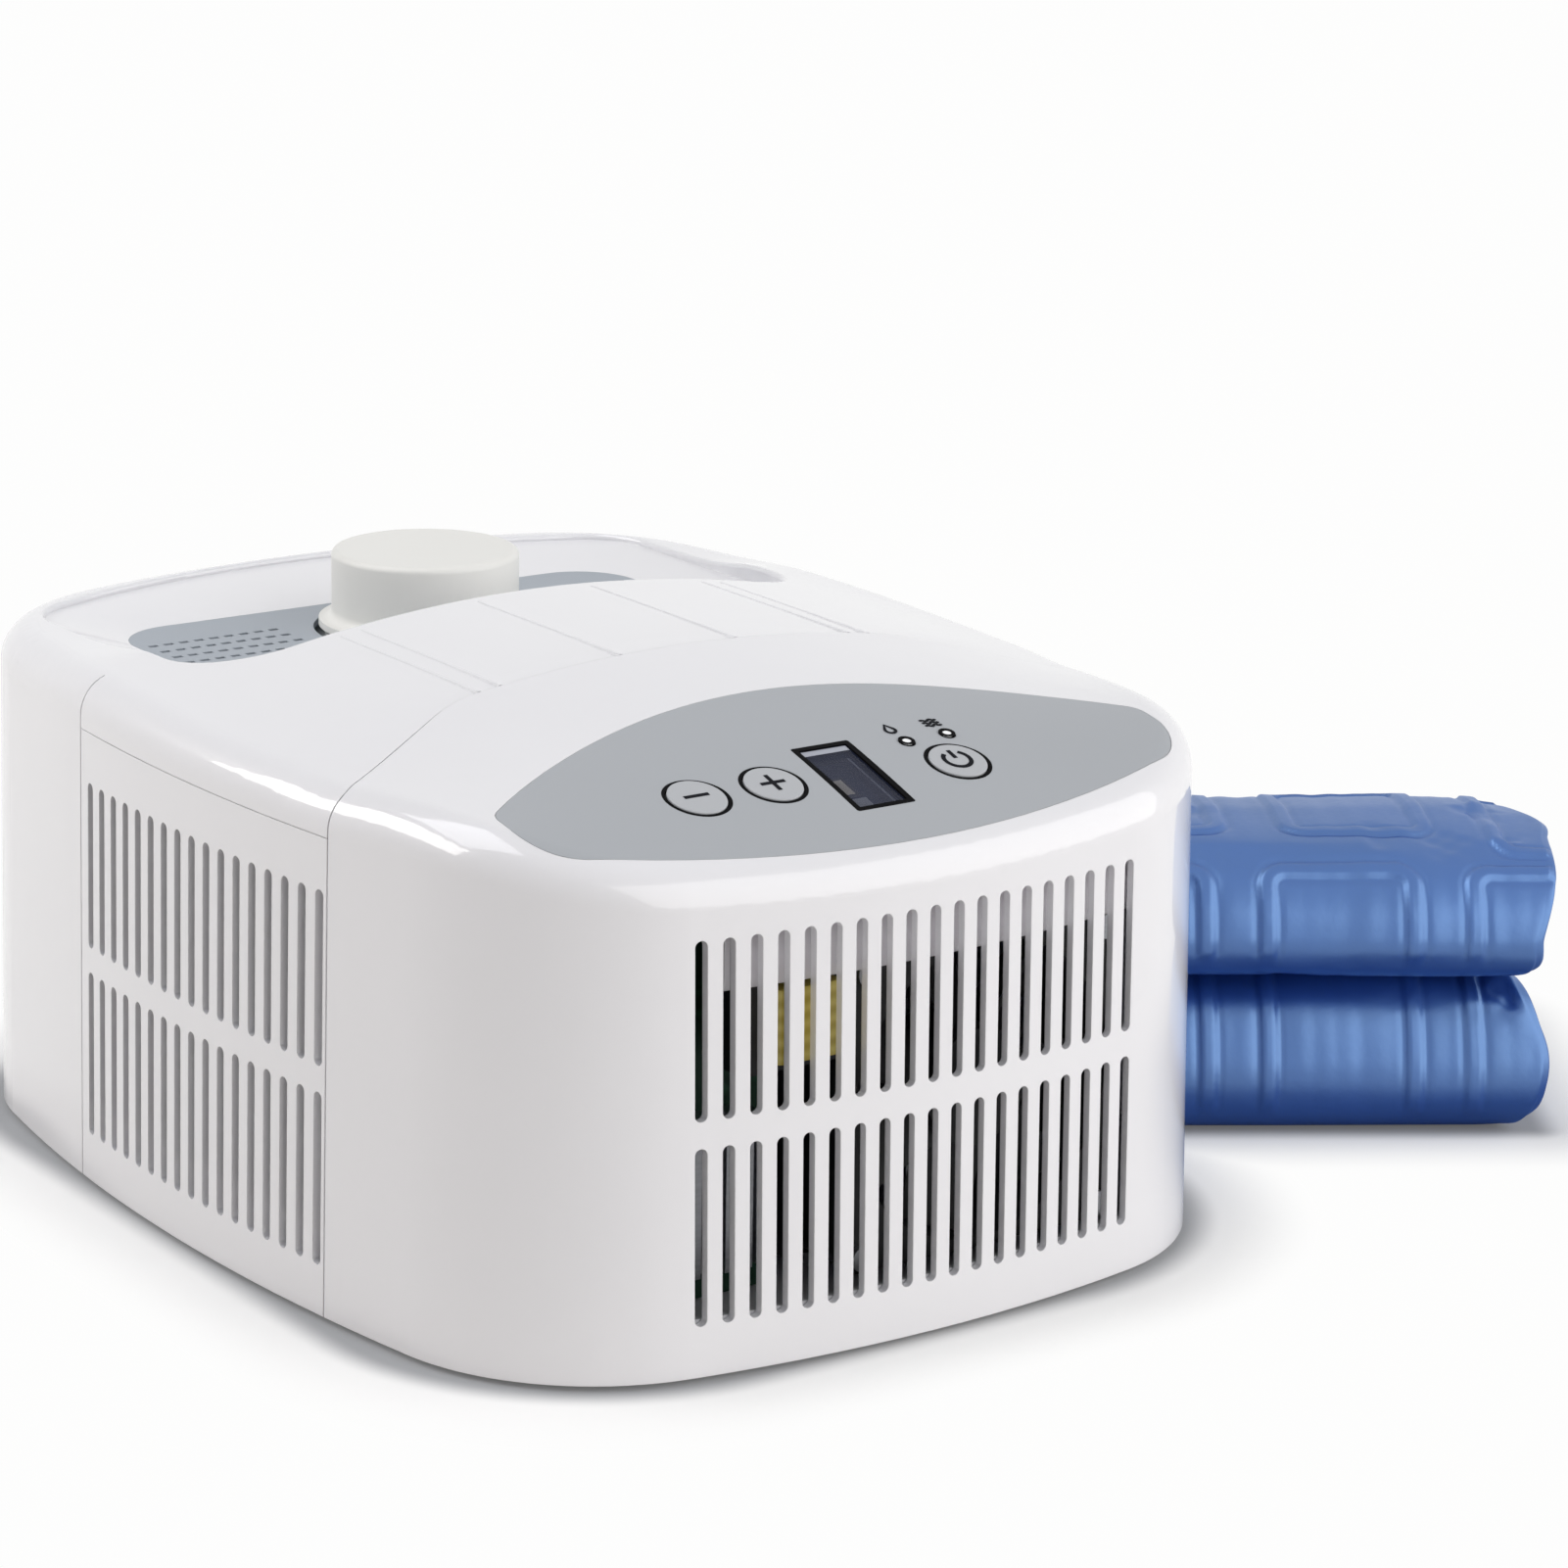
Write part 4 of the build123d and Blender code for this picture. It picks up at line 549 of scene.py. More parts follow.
# Pale strip behind the upper ends of the front slots, bowed as the front is, in millimetres
BAFFLE_X = tuple(range(-62, 87, 4))
BAFFLE_HEIGHTS = (107.0, 124.0)
BAFFLE_FRONT = 3.0
BAFFLE_THICKNESS = 1.2
FRONT_INSIDE_Y = -176.6
FRONT_BOW_RADIUS = 412.3


def baffle_y(x, gap):
    """How far back the strip lies at x, with a gap behind the front wall."""
    return FRONT_INSIDE_Y + gap + FRONT_BOW_RADIUS - math.sqrt(FRONT_BOW_RADIUS ** 2 - x ** 2)


def air_baffle():
    """The pale strip as one bowed bar."""
    made = bmesh.new()
    rows = []
    for height in BAFFLE_HEIGHTS:
        for gap in (BAFFLE_FRONT, BAFFLE_FRONT + BAFFLE_THICKNESS):
            places = [(x * MM, baffle_y(x, gap) * MM, height * MM) for x in BAFFLE_X]
            rows.append([made.verts.new(place) for place in places])
    front_low, back_low, front_high, back_high = rows
    ring = (front_low, front_high, back_high, back_low)
    for first, second in zip(ring, ring[1:] + ring[:1]):
        for i in range(len(BAFFLE_X) - 1):
            made.faces.new((first[i], first[i + 1], second[i + 1], second[i]))
    made.faces.new([row[0] for row in ring])
    made.faces.new([row[-1] for row in ring][::-1])
    piece = mesh_piece("air_baffle", made)
    piece.data.materials.append(moulded("baffle_pale", seen(246, 244, 248), 0.5, 1.5 * FINE_RIPPLE))
    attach(piece, frame["nodes"]["front_cover"]["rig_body"])


class WATERPAD_OT_inside(bpy.types.Operator):
    """Finish what is inside the housing and behind its rear openings"""
    bl_idname = "waterpad.inside"
    bl_label = "Inside"

    def execute(self, context):
        black = moulded("fan_black", seen(18, 18, 20), 0.5, 2 * FINE_RIPPLE)
        dress(black, "fan_frame", "fan_rotor", "fan_shroud", "radiator_tanks", "pump", "power_inlet")
        milky = moulded("tank_milky", seen(214, 219, 220), 0.4, 1.5 * FINE_RIPPLE)
        dress(milky, "water_tank", "tank_lid", "hose_connectors")
        hose = moulded("hose_milky", seen(190, 200, 206), 0.3, 1.5 * FINE_RIPPLE, gloss=0.2)
        dress(hose, "suction_hose", "pressure_hose", "supply_hose", "return_hose")
        dress(circuit_green(), "power_board", "control_board")
        dress(brushed_alloy(), "radiator_core", "cooling_block")
        dress(moulded("ferrite", seen(40, 41, 44), 0.6, 5 * FINE_RIPPLE), "transformer_core")
        dress(wound_tape(), "transformer_winding")
        dress(moulded("capacitor_sleeve", seen(30, 34, 48), 0.35, FINE_RIPPLE, gloss=0.3), "capacitors")
        air_baffle()
        return {"FINISHED"}


def circuit_green():
    """Solder mask with faint copper tracks."""
    paint = Paint("solder_mask")
    tracks = paint.node("ShaderNodeTexVoronoi", {"distance": "MANHATTAN"},
                        {"Vector": paint.place(), "Scale": 1 / (6 * MM)}, "Distance")
    share = paint.node("ShaderNodeValToRGB", {"stops": ((0.0, 0.0), (0.45, 1.0))}, {"Fac": tracks})
    return paint.finish(
        Base_Color=paint.between(share, seen(34, 92, 62), seen(22, 66, 46)),
        Roughness=0.35 + 0.2 * share,
        Normal=paint.bump(share, 0.03 * MM),
    )


def brushed_alloy():
    """Drawn aluminium with fine lines along X."""
    paint = Paint("drawn_aluminium")
    stretched = paint.node("ShaderNodeVectorMath", {"operation": "MULTIPLY"},
                           {0: paint.place(), 1: (40, 900, 900)})
    values = {"Vector": stretched, "Scale": 1.0, "Detail": 2.0}
    line = paint.node("ShaderNodeTexNoise", None, values, "Fac")
    return paint.finish(
        Base_Color=paint.between(line, seen(168, 171, 176), seen(206, 208, 212)),
        Roughness=0.3 + 0.25 * line,
        Metallic=1.0,
        Normal=paint.bump(line, 0.01 * MM),
    )


def wound_tape():
    """Yellow insulating tape wound in level turns."""
    paint = Paint("yellow_tape")
    turns = paint.node("ShaderNodeTexWave", {"bands_direction": "Z"},
                       {"Vector": paint.place(), "Scale": 1 / (14 * MM), "Distortion": 0.3}, "Fac")
    return paint.finish(
        Base_Color=paint.between(turns, seen(206, 186, 84), seen(232, 216, 120)),
        Roughness=0.35 + 0.1 * turns,
        Coat_Weight=0.3,
        Normal=paint.bump(turns, 0.08 * MM),
    )


# Symbols printed on the keys


def strip(mesh, points, width, closed=False):
    """Adds a flat line of even width along points (u, v) to a bmesh."""
    count = len(points)
    pairs = []
    for i, point in enumerate(points):
        before = points[(i - 1) % count] if closed or i else point
        after = points[(i + 1) % count] if closed or i < count - 1 else point
        along = (Vector(after) - Vector(before)).normalized()
        side = Vector((-along.y, along.x)) * width / 2
        middle = Vector(point)
        pairs.append([mesh.verts.new((*(middle + side), 0)), mesh.verts.new((*(middle - side), 0))])
    steps = range(count) if closed else range(count - 1)
    for i in steps:
        a, b = pairs[i], pairs[(i + 1) % count]
        mesh.faces.new((a[0], a[1], b[1], b[0]))


def arc(radius, start, end, steps=24):
    """Points of an arc about the origin, angles in degrees."""
    turn = [math.radians(start + (end - start) * i / steps) for i in range(steps + 1)]
    return [(radius * math.cos(t), radius * math.sin(t)) for t in turn]


def minus_mark(mesh, size, width):
    strip(mesh, [(-size / 2, 0), (size / 2, 0)], width)


def plus_mark(mesh, size, width):
    strip(mesh, [(-size / 2, 0), (size / 2, 0)], width)
    strip(mesh, [(0, -size / 2), (0, -width / 2)], width)
    strip(mesh, [(0, width / 2), (0, size / 2)], width)


def power_mark(mesh, size, width):
    strip(mesh, arc(size / 2, 125, 415), width)
    strip(mesh, [(0, size * 0.08), (0, size * 0.6)], width)


def drop_mark(mesh, size, width):
    """Outline of a water drop."""
    round_part = arc(size * 0.3, 150, 390)
    points = round_part + [(0, size * 0.62)]
    strip(mesh, points, width, closed=True)


def wave_mark(mesh, size, width):
    """Three rising waves, one above another."""
    for row in (-1, 0, 1):
        points = []
        for i in range(17):
            u = size * (i / 16 - 0.5)
            points.append((u, row * size * 0.3 + size * 0.08 * math.sin(2 * math.pi * i / 8)))
        strip(mesh, points, width)


# Lift of a printed mark over the slightly curved panel, and how far above it the search begins
SHEET_LIFT = 0.12 * MM
SEARCH_FROM = 5 * MM


def on_panel(place, outward):
    """The point of the control panel under a place, a little above its surface."""
    panel = frame["nodes"]["control_panel"]
    found, point, _, _ = panel.ray_cast(place + outward * SEARCH_FROM, -outward)
    return (point if found else place) + outward * SHEET_LIFT


class WATERPAD_OT_marks(bpy.types.Operator):
    """Print plain symbols on the keys and beside the lights"""
    bl_idname = "waterpad.marks"
    bl_label = "Symbols"

    def execute(self, context):
        looks = context.scene.waterpad_panel
        ink = Paint("dark_ink")
        grain = ink.cloud(0.3 * MM, 1.0)
        black = ink.finish(
            Base_Color=ink.between(grain, looks.ink, [c * 1.3 for c in looks.ink]),
            Roughness=0.5 + 0.1 * grain,
            Specular_IOR_Level=0.02,
        )
        draw = {"key_left": minus_mark, "key_middle": plus_mark, "key_right": power_mark}
        for node, mark in draw.items():
            axes = tilted_axes(node)
            middle = top_middle(node, axes[2])
            made = bmesh.new()
            mark(made, looks.mark_size, looks.mark_width)
            piece = laid_sheet(f"{node}_symbol", made, looks.ink_height, middle, axes, black)
            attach(piece, frame["nodes"][node]["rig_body"])
        for (middle, axes), mark in zip(lamp_tops(), (drop_mark, wave_mark)):
            made = bmesh.new()
            mark(made, looks.label_size, looks.label_width)
            aside, above = looks.label_offset
            place = on_panel(middle + axes[0] * aside + axes[1] * above, axes[2])
            piece = laid_sheet(f"lamp_{mark.__name__}", made, looks.ink_height, place, axes, black)
            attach(piece, frame["nodes"]["control_panel"]["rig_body"])
        return {"FINISHED"}


# Folded pad


# Where the pad lies and how it is turned
PAD_CORNER = Vector((147.2, -69.7, 0.0)) * MM
PAD_ANGLE = math.radians(-32.4)
PAD_ALONG = Vector((math.cos(PAD_ANGLE), math.sin(PAD_ANGLE), 0))
PAD_BACK = Vector((-math.sin(PAD_ANGLE), math.cos(PAD_ANGLE), 0))

# Bundles: length and step of their rows in millimetres, points round them, and finer steps later
PAD_LENGTH = 138.0
BODY_STEP = 4.5
SECTION_STEPS = 10
ROUND_COLUMNS = 72
FINER = (5, 4)

# How far in the rows of an end lie, the run over which the right end leans, and the least height
CAP_INSETS = (0.06, 0.16, 0.32, 0.5, 0.68, 0.84, 0.97)
END_RUN = 30.0
FLOOR_GAP = 0.5

# Film as cloth
SWELLING_FRAMES = 20
FILM_STIFFNESS = 30
FILM_BENDING = 2

# Welded frames in millimetres: round corners, width of the raised channel and run of its flanks,
# and the groove beside it with its share of the channel's height
FRAME_CORNER = 9.0
CHANNEL_WIDTH = 6.0
CHANNEL_FLANK = 1.3
GROOVE_ASIDE = 0.5
GROOVE_WIDTH = 1.0
GROOVE_SHARE = 0.55

# Places and lengths of the frames along the pad, and places back and up where they begin and end
UPPER_FRONT_STARTS = (-17.0, 47.0, 111.0)
UPPER_FRONT_LENGTH = 51.1
UPPER_FRONT_ENDS = ((12, 50.4), (2.5, 83.7))
UPPER_TOP_STARTS = {-8.0: (19.0, 88), 56.5: (18.0, 88), 121.0: (8.0, 88)}
UPPER_TOP_LENGTH = 49.0
UPPER_TOP_END = (80, 82)
LOWER_STARTS = (-14.8, 49.2, 112.8)
LOWER_LENGTH = 51.2
LOWER_ENDS = ((50, 0.5), (30, 48.3))

# Uneven film in millimetres: height of the lumps and their size along and round the pad, and how
# far along an end's rows are spread for its waves
STREAKS = (0.3, (6.0, 70.0))
WRINKLES = (0.9, (38.0, 45.0))
END_WAVES = (1.2, (30.0, 30.0))
END_SPREAD = 90.0

# Sections of the bundles and of the fold between them, clockwise: millimetres back and up,
# and for the bundles how far along their right end lies there
UPPER_SECTION = (
    (100, 51, 132), (50, 50.6, 131), (12, 50.4, 130), (-3, 50.8, 131), (-8, 53.5, 134.5),
    (-11, 59, 135), (-11.2, 64, 135), (-8.8, 71, 137), (-4.5, 77.5, 139), (1.5, 83, 140.3),
    (10, 86.6, 141), (24, 88.2, 142.5), (38, 88.6, 145), (52, 88.2, 142), (74, 84.5, 138),
    (94, 76, 135), (107, 66, 133), (109, 56, 132),
)
LOWER_SECTION = (
    (96, 0.6, 130), (50, 0.5, 131), (8, 0.8, 131), (-4, 2.2, 132.5), (-9.4, 7, 136), (-11.3, 14, 138),
    (-10.6, 22, 139.4), (-8, 29, 139), (-4.2, 36, 136), (0.5, 41.5, 133.5), (8, 45.5, 131.5),
    (20, 47.8, 130), (40, 48.6, 130), (80, 49, 130), (104, 46, 130), (112, 34, 130), (112, 15, 130),
    (105, 3, 130),
)
FOLD_SECTION = (
    (104, 36), (112, 37), (117.5, 43), (119, 49.5), (117, 56), (110, 63), (104, 64), (109, 56),
    (110, 49.5), (108.5, 43),
)


# Places along the pad where the fold between the bundles has its rows
FOLD_PLACES = (5.0, 6.0, 9.0, *np.arange(16.0, PAD_LENGTH - 12, 8.0), PAD_LENGTH - 9, PAD_LENGTH - 6)


def closed_curve(points, steps):
    """A smooth closed curve through points, steps points for each span."""
    corners = np.array(points, float)
    return finer_rows(np.vstack([corners[-1:], corners, corners[:2]]), steps)[:-1]


def finer_rows(rows, steps):
    """Smooth rows through all but the first and the last of the rows given, steps for each span."""
    before, near, far, after = rows[:-3], rows[1:-2], rows[2:-1], rows[3:]
    made = []
    for t in np.arange(steps) / steps:
        made.append(0.5 * (2 * near + (far - before) * t
                           + (2 * before - 5 * near + 4 * far - after) * t ** 2
                           + (3 * near - before - 3 * far + after) * t ** 3))
    smooth = np.stack(made, 1).reshape((-1,) + rows.shape[1:])
    return np.concatenate([smooth, rows[-2:-1]])


def even_section(points):
    """A section at even steps round its girth, and how far round each step is."""
    loop = closed_curve(points, SECTION_STEPS)
    loop = np.vstack([loop, loop[:1]])
    girth = np.concatenate([[0], np.cumsum(np.linalg.norm(np.diff(loop[:, :2], axis=0), axis=1))])
    marks = np.arange(ROUND_COLUMNS) * girth[-1] / ROUND_COLUMNS
    columns = [np.interp(marks, girth, column) for column in loop.T]
    return np.column_stack(columns), marks, girth[-1]


def eased(share):
    """0 below 0, 1 beyond 1 and smooth between."""
    share = np.clip(share, 0, 1)
    return share * share * (3 - 2 * share)


def bundle_rows(points):
    """Rows of points from one end of a bundle to the other, and each row's inset at the ends."""
    shape, _, _ = even_section(points)
    section, reach = shape[:, :2], shape[:, 2]
    low, high = section.min(0), section.max(0)
    half = (high[1] - low[1]) / 2
    axis = np.column_stack([
        np.clip(section[:, 0], low[0] + half, high[0] - half),
        np.full(len(section), (low[1] + high[1]) / 2),
    ])
    stations = [(BODY_STEP * 0.5 * inset, inset) for inset in reversed(CAP_INSETS)]
    stations += [(place, 0.0) for place in np.arange(BODY_STEP, PAD_LENGTH - BODY_STEP / 2, BODY_STEP)]
    stations += [(PAD_LENGTH - BODY_STEP * 0.5 * inset, inset) for inset in CAP_INSETS]
    rows = []
    for place, inset in stations:
        share = 1 - inset
        along = place + (reach - PAD_LENGTH) * share * eased((place - PAD_LENGTH + END_RUN) / END_RUN)
        rows.append(np.column_stack([along, axis + (section - axis) * share]))
    return np.array(rows), np.array([inset for _, inset in stations])


def pad_world(local):
    """World points from distances along the pad, back into it and up, in millimetres."""
    axes = np.array((PAD_ALONG, PAD_BACK, (0, 0, 1)))
    return np.array(PAD_CORNER) + MM * local @ axes


def pad_local(points):
    """Distances along the pad, back into it and up, in millimetres, from world points."""
    axes = np.array((PAD_ALONG, PAD_BACK, (0, 0, 1)))
    return (points - np.array(PAD_CORNER)) @ axes.T / MM


def add_tube(made, rows):
    """Adds rows of closed loops to a bmesh as one closed skin."""
    loops = [[made.verts.new(p) for p in pad_world(row)] for row in rows]
    for first, second in zip(loops, loops[1:]):
        for i in range(len(first)):
            j = (i + 1) % len(first)
            made.faces.new((first[i], first[j], second[j], second[i]))
    made.faces.new(loops[0][::-1])
    made.faces.new(loops[-1])


def swollen(rows, sizes):
    """Rows of a bundle after its closed skin has swelled like film with a little air in it."""
    made = bmesh.new()
    add_tube(made, rows)
    piece = mesh_piece("swelling_film", made)
    cloth = piece.modifiers.new("Cloth", "CLOTH")
    cloth.settings.use_pressure = True
    cloth.settings.uniform_pressure_force = sizes.pressure
    cloth.settings.effector_weights.gravity = 0
    cloth.settings.tension_stiffness = FILM_STIFFNESS
    cloth.settings.compression_stiffness = FILM_STIFFNESS
    cloth.settings.bending_stiffness = FILM_BENDING
    for moment in range(1, SWELLING_FRAMES + 1):
        bpy.context.scene.frame_set(moment)
    solved = piece.evaluated_get(bpy.context.evaluated_depsgraph_get())
    points = np.array([v.co for v in solved.data.vertices])
    bpy.context.scene.frame_set(1)
    bpy.data.objects.remove(piece)
    moved = pad_local(points).reshape(rows.shape) - rows
    length = np.linalg.norm(moved, axis=2, keepdims=True)
    moved *= np.minimum(1, sizes.swell / MM / np.maximum(length, 1e-9))
    return rows + moved


def frame_ridge(along, round_, sides, ends):
    """Height, up to 1, of a raised channel round a rectangle with round corners, grooves beside it."""
    middle = (sum(sides) / 2, sum(ends) / 2)
    half = ((sides[1] - sides[0]) / 2 - FRAME_CORNER, (ends[1] - ends[0]) / 2 - FRAME_CORNER)
    out_x = np.abs(along - middle[0]) - half[0]
    out_y = np.abs(round_ - middle[1]) - half[1]
    away = np.hypot(np.maximum(out_x, 0), np.maximum(out_y, 0))
    away += np.minimum(np.maximum(out_x, out_y), 0)
    depth = FRAME_CORNER - away
    ridge = eased(depth / CHANNEL_FLANK) * eased((CHANNEL_WIDTH - depth) / CHANNEL_FLANK)
    outer = np.exp(-((depth + GROOVE_ASIDE) / GROOVE_WIDTH) ** 2)
    inner = np.exp(-((depth - CHANNEL_WIDTH - GROOVE_ASIDE) / GROOVE_WIDTH) ** 2)
    return ridge - GROOVE_SHARE * (outer + inner)


def unevenness(lumps, along, round_, seed):
    """Smooth random height over the film, from the height and size of its lumps."""
    height, size = lumps
    places = zip(along.ravel(), round_.ravel())
    flat = [noise.noise((a / size[0], r / size[1], seed)) for a, r in places]
    return height * np.array(flat).reshape(along.shape)


def dressed_rows(rows, insets, girth, frames, sizes, seed):
    """Finer rows with the welded channels, streaks, wrinkles and the ends' folded layers."""
    fine = finer_rows(np.concatenate([rows[:1], rows, rows[-1:]]), FINER[0])
    inset = np.interp(np.arange(len(fine)) / FINER[0], np.arange(len(insets)), insets)[:, None]
    turned = np.concatenate([fine[:, -1:], fine, fine[:, :2]], 1)
    fine = finer_rows(turned.swapaxes(0, 1), FINER[1])[:-1].swapaxes(0, 1)
    columns = fine.shape[1]
    round_ = np.broadcast_to(np.arange(columns) * girth / columns, fine.shape[:2])
    along = fine[..., 0]
    side = np.roll(fine, -1, 1) - np.roll(fine, 1, 1)
    ahead = np.gradient(fine, axis=0)
    normal = np.cross(ahead, side)
    normal /= np.maximum(np.linalg.norm(normal, axis=2, keepdims=True), 1e-9)
    height = np.zeros(fine.shape[:2])
    for sides, ends in frames:
        height += sizes.channel / MM * frame_ridge(along, round_, sides, ends)
    height += unevenness(STREAKS, along, round_, seed)
    height += unevenness(WRINKLES, along, round_, seed + 7)
    body = (1 - eased(inset / 0.08)) * eased((normal[..., 2] + 0.6) / 0.5)
    fine = fine + normal * (height * body)[..., None]
    layer = np.abs(np.sin(math.pi * inset * sizes.layers))
    lip = sizes.lip / MM * (np.sqrt(layer) - 1) * eased(inset / 0.04)
    lip = lip + unevenness(END_WAVES, along + END_SPREAD * inset, round_, seed + 3) * eased(inset / 0.1)
    outward = np.where(along > PAD_LENGTH / 2, 1, -1)
    fine[..., 0] += outward * lip
    fine[..., 2] = np.maximum(fine[..., 2], FLOOR_GAP)
    return fine


def girth_at(points, back, up):
    """How far round a section its nearest point to a place is."""
    section, marks, _ = even_section(points)
    return marks[np.argmin(np.linalg.norm(section[:, :2] - (back, up), axis=1))]


def upper_frames():
    """Rectangles pressed into the front and the top of the upper bundle."""
    front = [girth_at(UPPER_SECTION, *place) for place in UPPER_FRONT_ENDS]
    made = [((start, start + UPPER_FRONT_LENGTH), front) for start in UPPER_FRONT_STARTS]
    for start, edge in UPPER_TOP_STARTS.items():
        top = (girth_at(UPPER_SECTION, *edge), girth_at(UPPER_SECTION, *UPPER_TOP_END))
        made.append(((start, start + UPPER_TOP_LENGTH), top))
    return made


def lower_frames():
    """Rectangles on the lower bundle, which run round its whole front."""
    front = [girth_at(LOWER_SECTION, *place) for place in LOWER_ENDS]
    return [((start, start + LOWER_LENGTH), front) for start in LOWER_STARTS]


class WATERPAD_OT_pad(bpy.types.Operator):
    """Model the folded water pad with its welded channels"""
    bl_idname = "waterpad.pad"
    bl_label = "Folded pad"

    def execute(self, context):
        sizes = context.scene.waterpad_pad
        made = bmesh.new()
        bundles = ((UPPER_SECTION, upper_frames(), 3), (LOWER_SECTION, lower_frames(), 11))
        for section, frames, seed in bundles:
            rows, insets = bundle_rows(section)
            rows = swollen(rows, sizes)
            add_tube(made, dressed_rows(rows, insets, even_section(section)[2], frames, sizes, seed))
        fold = closed_curve(FOLD_SECTION, SECTION_STEPS)
        add_tube(made, [np.column_stack([np.full(len(fold), place), fold]) for place in FOLD_PLACES])
        piece = mesh_piece("folded_pad", made)
        for face in piece.data.polygons:
            face.use_smooth = True
        piece.data.materials.append(pad_film(sizes))
        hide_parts("water_pad")
        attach(piece, frame["nodes"]["water_pad"]["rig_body"])
        return {"FINISHED"}


def pad_film(sizes):
    """Satin blue film with a metallic sheen and a fine embossed grain."""
    paint = Paint("satin_film")
    crease = paint.cloud(2.2 * MM, 3.0)
    drift = paint.cloud(40 * MM, 2.0)
    return paint.finish(
        Base_Color=paint.between(drift, sizes.shade, sizes.colour),
        Roughness=0.36 + 0.1 * (crease - 0.5),
        Metallic=0.15,
        IOR=2.9,
        Specular_Tint=(0.42, 0.7, 1, 1),
        Coat_Weight=0.1,
        Coat_Roughness=0.22,
        Normal=paint.bump(crease, 0.05 * MM),
    )


# Stage


CAMERA_PLACE = Vector((-769.72, -1192.63, 508.10)) * MM
CAMERA_YAW = math.radians(35.345)
CAMERA_PITCH = math.radians(15.448)
CAMERA_ROLL = math.radians(0.98)
FOCAL_PIXELS = 5036.734
SENSOR = 36.0
FAR_LIMIT = 50

# Place, size and tint of each light, and the point that they are aimed at
LEFT_LIGHT = ((-1.27, 0.74, 0.98), (1.5, 0.6), (1, 0.975, 0.945))
FRONT_LIGHT = ((0.86, -1.48, 0.78), (3.0, 2.0), (1, 0.985, 0.975))
TOP_LIGHT = ((-0.62, 0.42, 1.56), (1.4, 1.0), (0.965, 0.965, 1))
LIT_MIDDLE = Vector((0, 0, 0.09))

# Direction of the brightest part of the surroundings, and how closely a direction has to agree
SKY_FRONT = Vector((0.6, -0.76, 0.2)).normalized().to_tuple()
SKY_SPREAD = (0.1, 0.85)
PLAIN_WHITE = 0.985

# Feet of the unit and of the pad on the floor as half sizes less their round corners
FOOT_CORNER = 0.08
UNIT_FOOT = (0.057, 0.0965, 1)
PAD_DEPTH = 108.0
PAD_FOOT = (0.067, 0.056, 1)

# Floor: its drop below the feet, its greys, and how far from the feet its shades reach; the dark grey
# at the feet is a painted shadow, and the dark blue near the pad, seen in reflections and bounces, is
# painted shade
FLOOR_DROP = 0.2 * MM
# Painted shadow: the floor's own colour turns this dark grey right at the feet, over the rendered
# shadow
PAINTED_FOOT_SHADOW = (0.34, 0.35, 0.37)
FLOOR_WHITE = (0.96, 0.96, 0.96)
# Painted shade: reflections and bounces see this dark blue on the floor near the pad
FLOOR_PAINTED_PAD_SHADE = (0.3, 0.36, 0.5)
FLOOR_BOUNCE = (0.88, 0.845, 0.8)
FLOOR_GLOW = (0.985, 0.985, 0.982)
PAINTED_FOOT_SHADOW_REACH = 0.012
SHADOW_REACH = 0.04
PAINTED_PAD_SHADE_REACH = (0.02, 0.14)
LEAST_GLOW = 0.1


def camera_turn():
    """Camera axes as a matrix: right, up and back as columns."""
    ahead = Vector((math.sin(CAMERA_YAW) * math.cos(CAMERA_PITCH),
                    math.cos(CAMERA_YAW) * math.cos(CAMERA_PITCH), -math.sin(CAMERA_PITCH)))
    level = ahead.cross(Vector((0, 0, 1))).normalized()
    above = level.cross(ahead)
    right = level * math.cos(CAMERA_ROLL) + above * math.sin(CAMERA_ROLL)
    up = right.cross(ahead)
    return Matrix((right, up, -ahead)).transposed().to_4x4()


def soft_light(name, power, place, size, tint):
    """A large soft light aimed at the unit."""
    data = bpy.data.lights.new(name, "AREA")
    data.shape = "RECTANGLE"
    data.size, data.size_y = size
    data.energy = power
    data.color = tint
    lamp = bpy.data.objects.new(name, data)
    turn = (LIT_MIDDLE - Vector(place)).to_track_quat("-Z", "Y").to_matrix().to_4x4()
    lamp.matrix_world = Matrix.Translation(place) @ turn
    bpy.context.scene.collection.objects.link(lamp)


class WATERPAD_OT_stage(bpy.types.Operator):
    """Set up the pale floor, the soft studio lights and the camera"""
    bl_idname = "waterpad.stage"
    bl_label = "Stage"

    def execute(self, context):
        stage = context.scene.waterpad_stage
        scene = context.scene
        made = bmesh.new()
        bmesh.ops.create_circle(made, cap_ends=True, segments=96, radius=stage.floor)
        mesh = bpy.data.meshes.new("floor")
        made.to_mesh(mesh)
        made.free()
        floor = bpy.data.objects.new("floor", mesh)
        floor.location.z = -FLOOR_DROP
        scene.collection.objects.link(floor)
        mesh.materials.append(pale_floor())
        soft_light("left_light", stage.left, *LEFT_LIGHT)
        soft_light("front_light", stage.front, *FRONT_LIGHT)
        soft_light("top_light", stage.top, *TOP_LIGHT)
        white_surroundings(scene, stage.sky, stage.front_sky)
        scene.view_settings.view_transform = "Standard"
        data = bpy.data.cameras.new("photo_camera")
        data.sensor_width = SENSOR
        data.lens = FOCAL_PIXELS * SENSOR / PHOTO_SIDE
        data.clip_end = FAR_LIMIT
        camera = bpy.data.objects.new("photo_camera", data)
        camera.matrix_world = Matrix.Translation(CAMERA_PLACE) @ camera_turn()
        scene.collection.objects.link(camera)
        scene.camera = camera
        return {"FINISHED"}


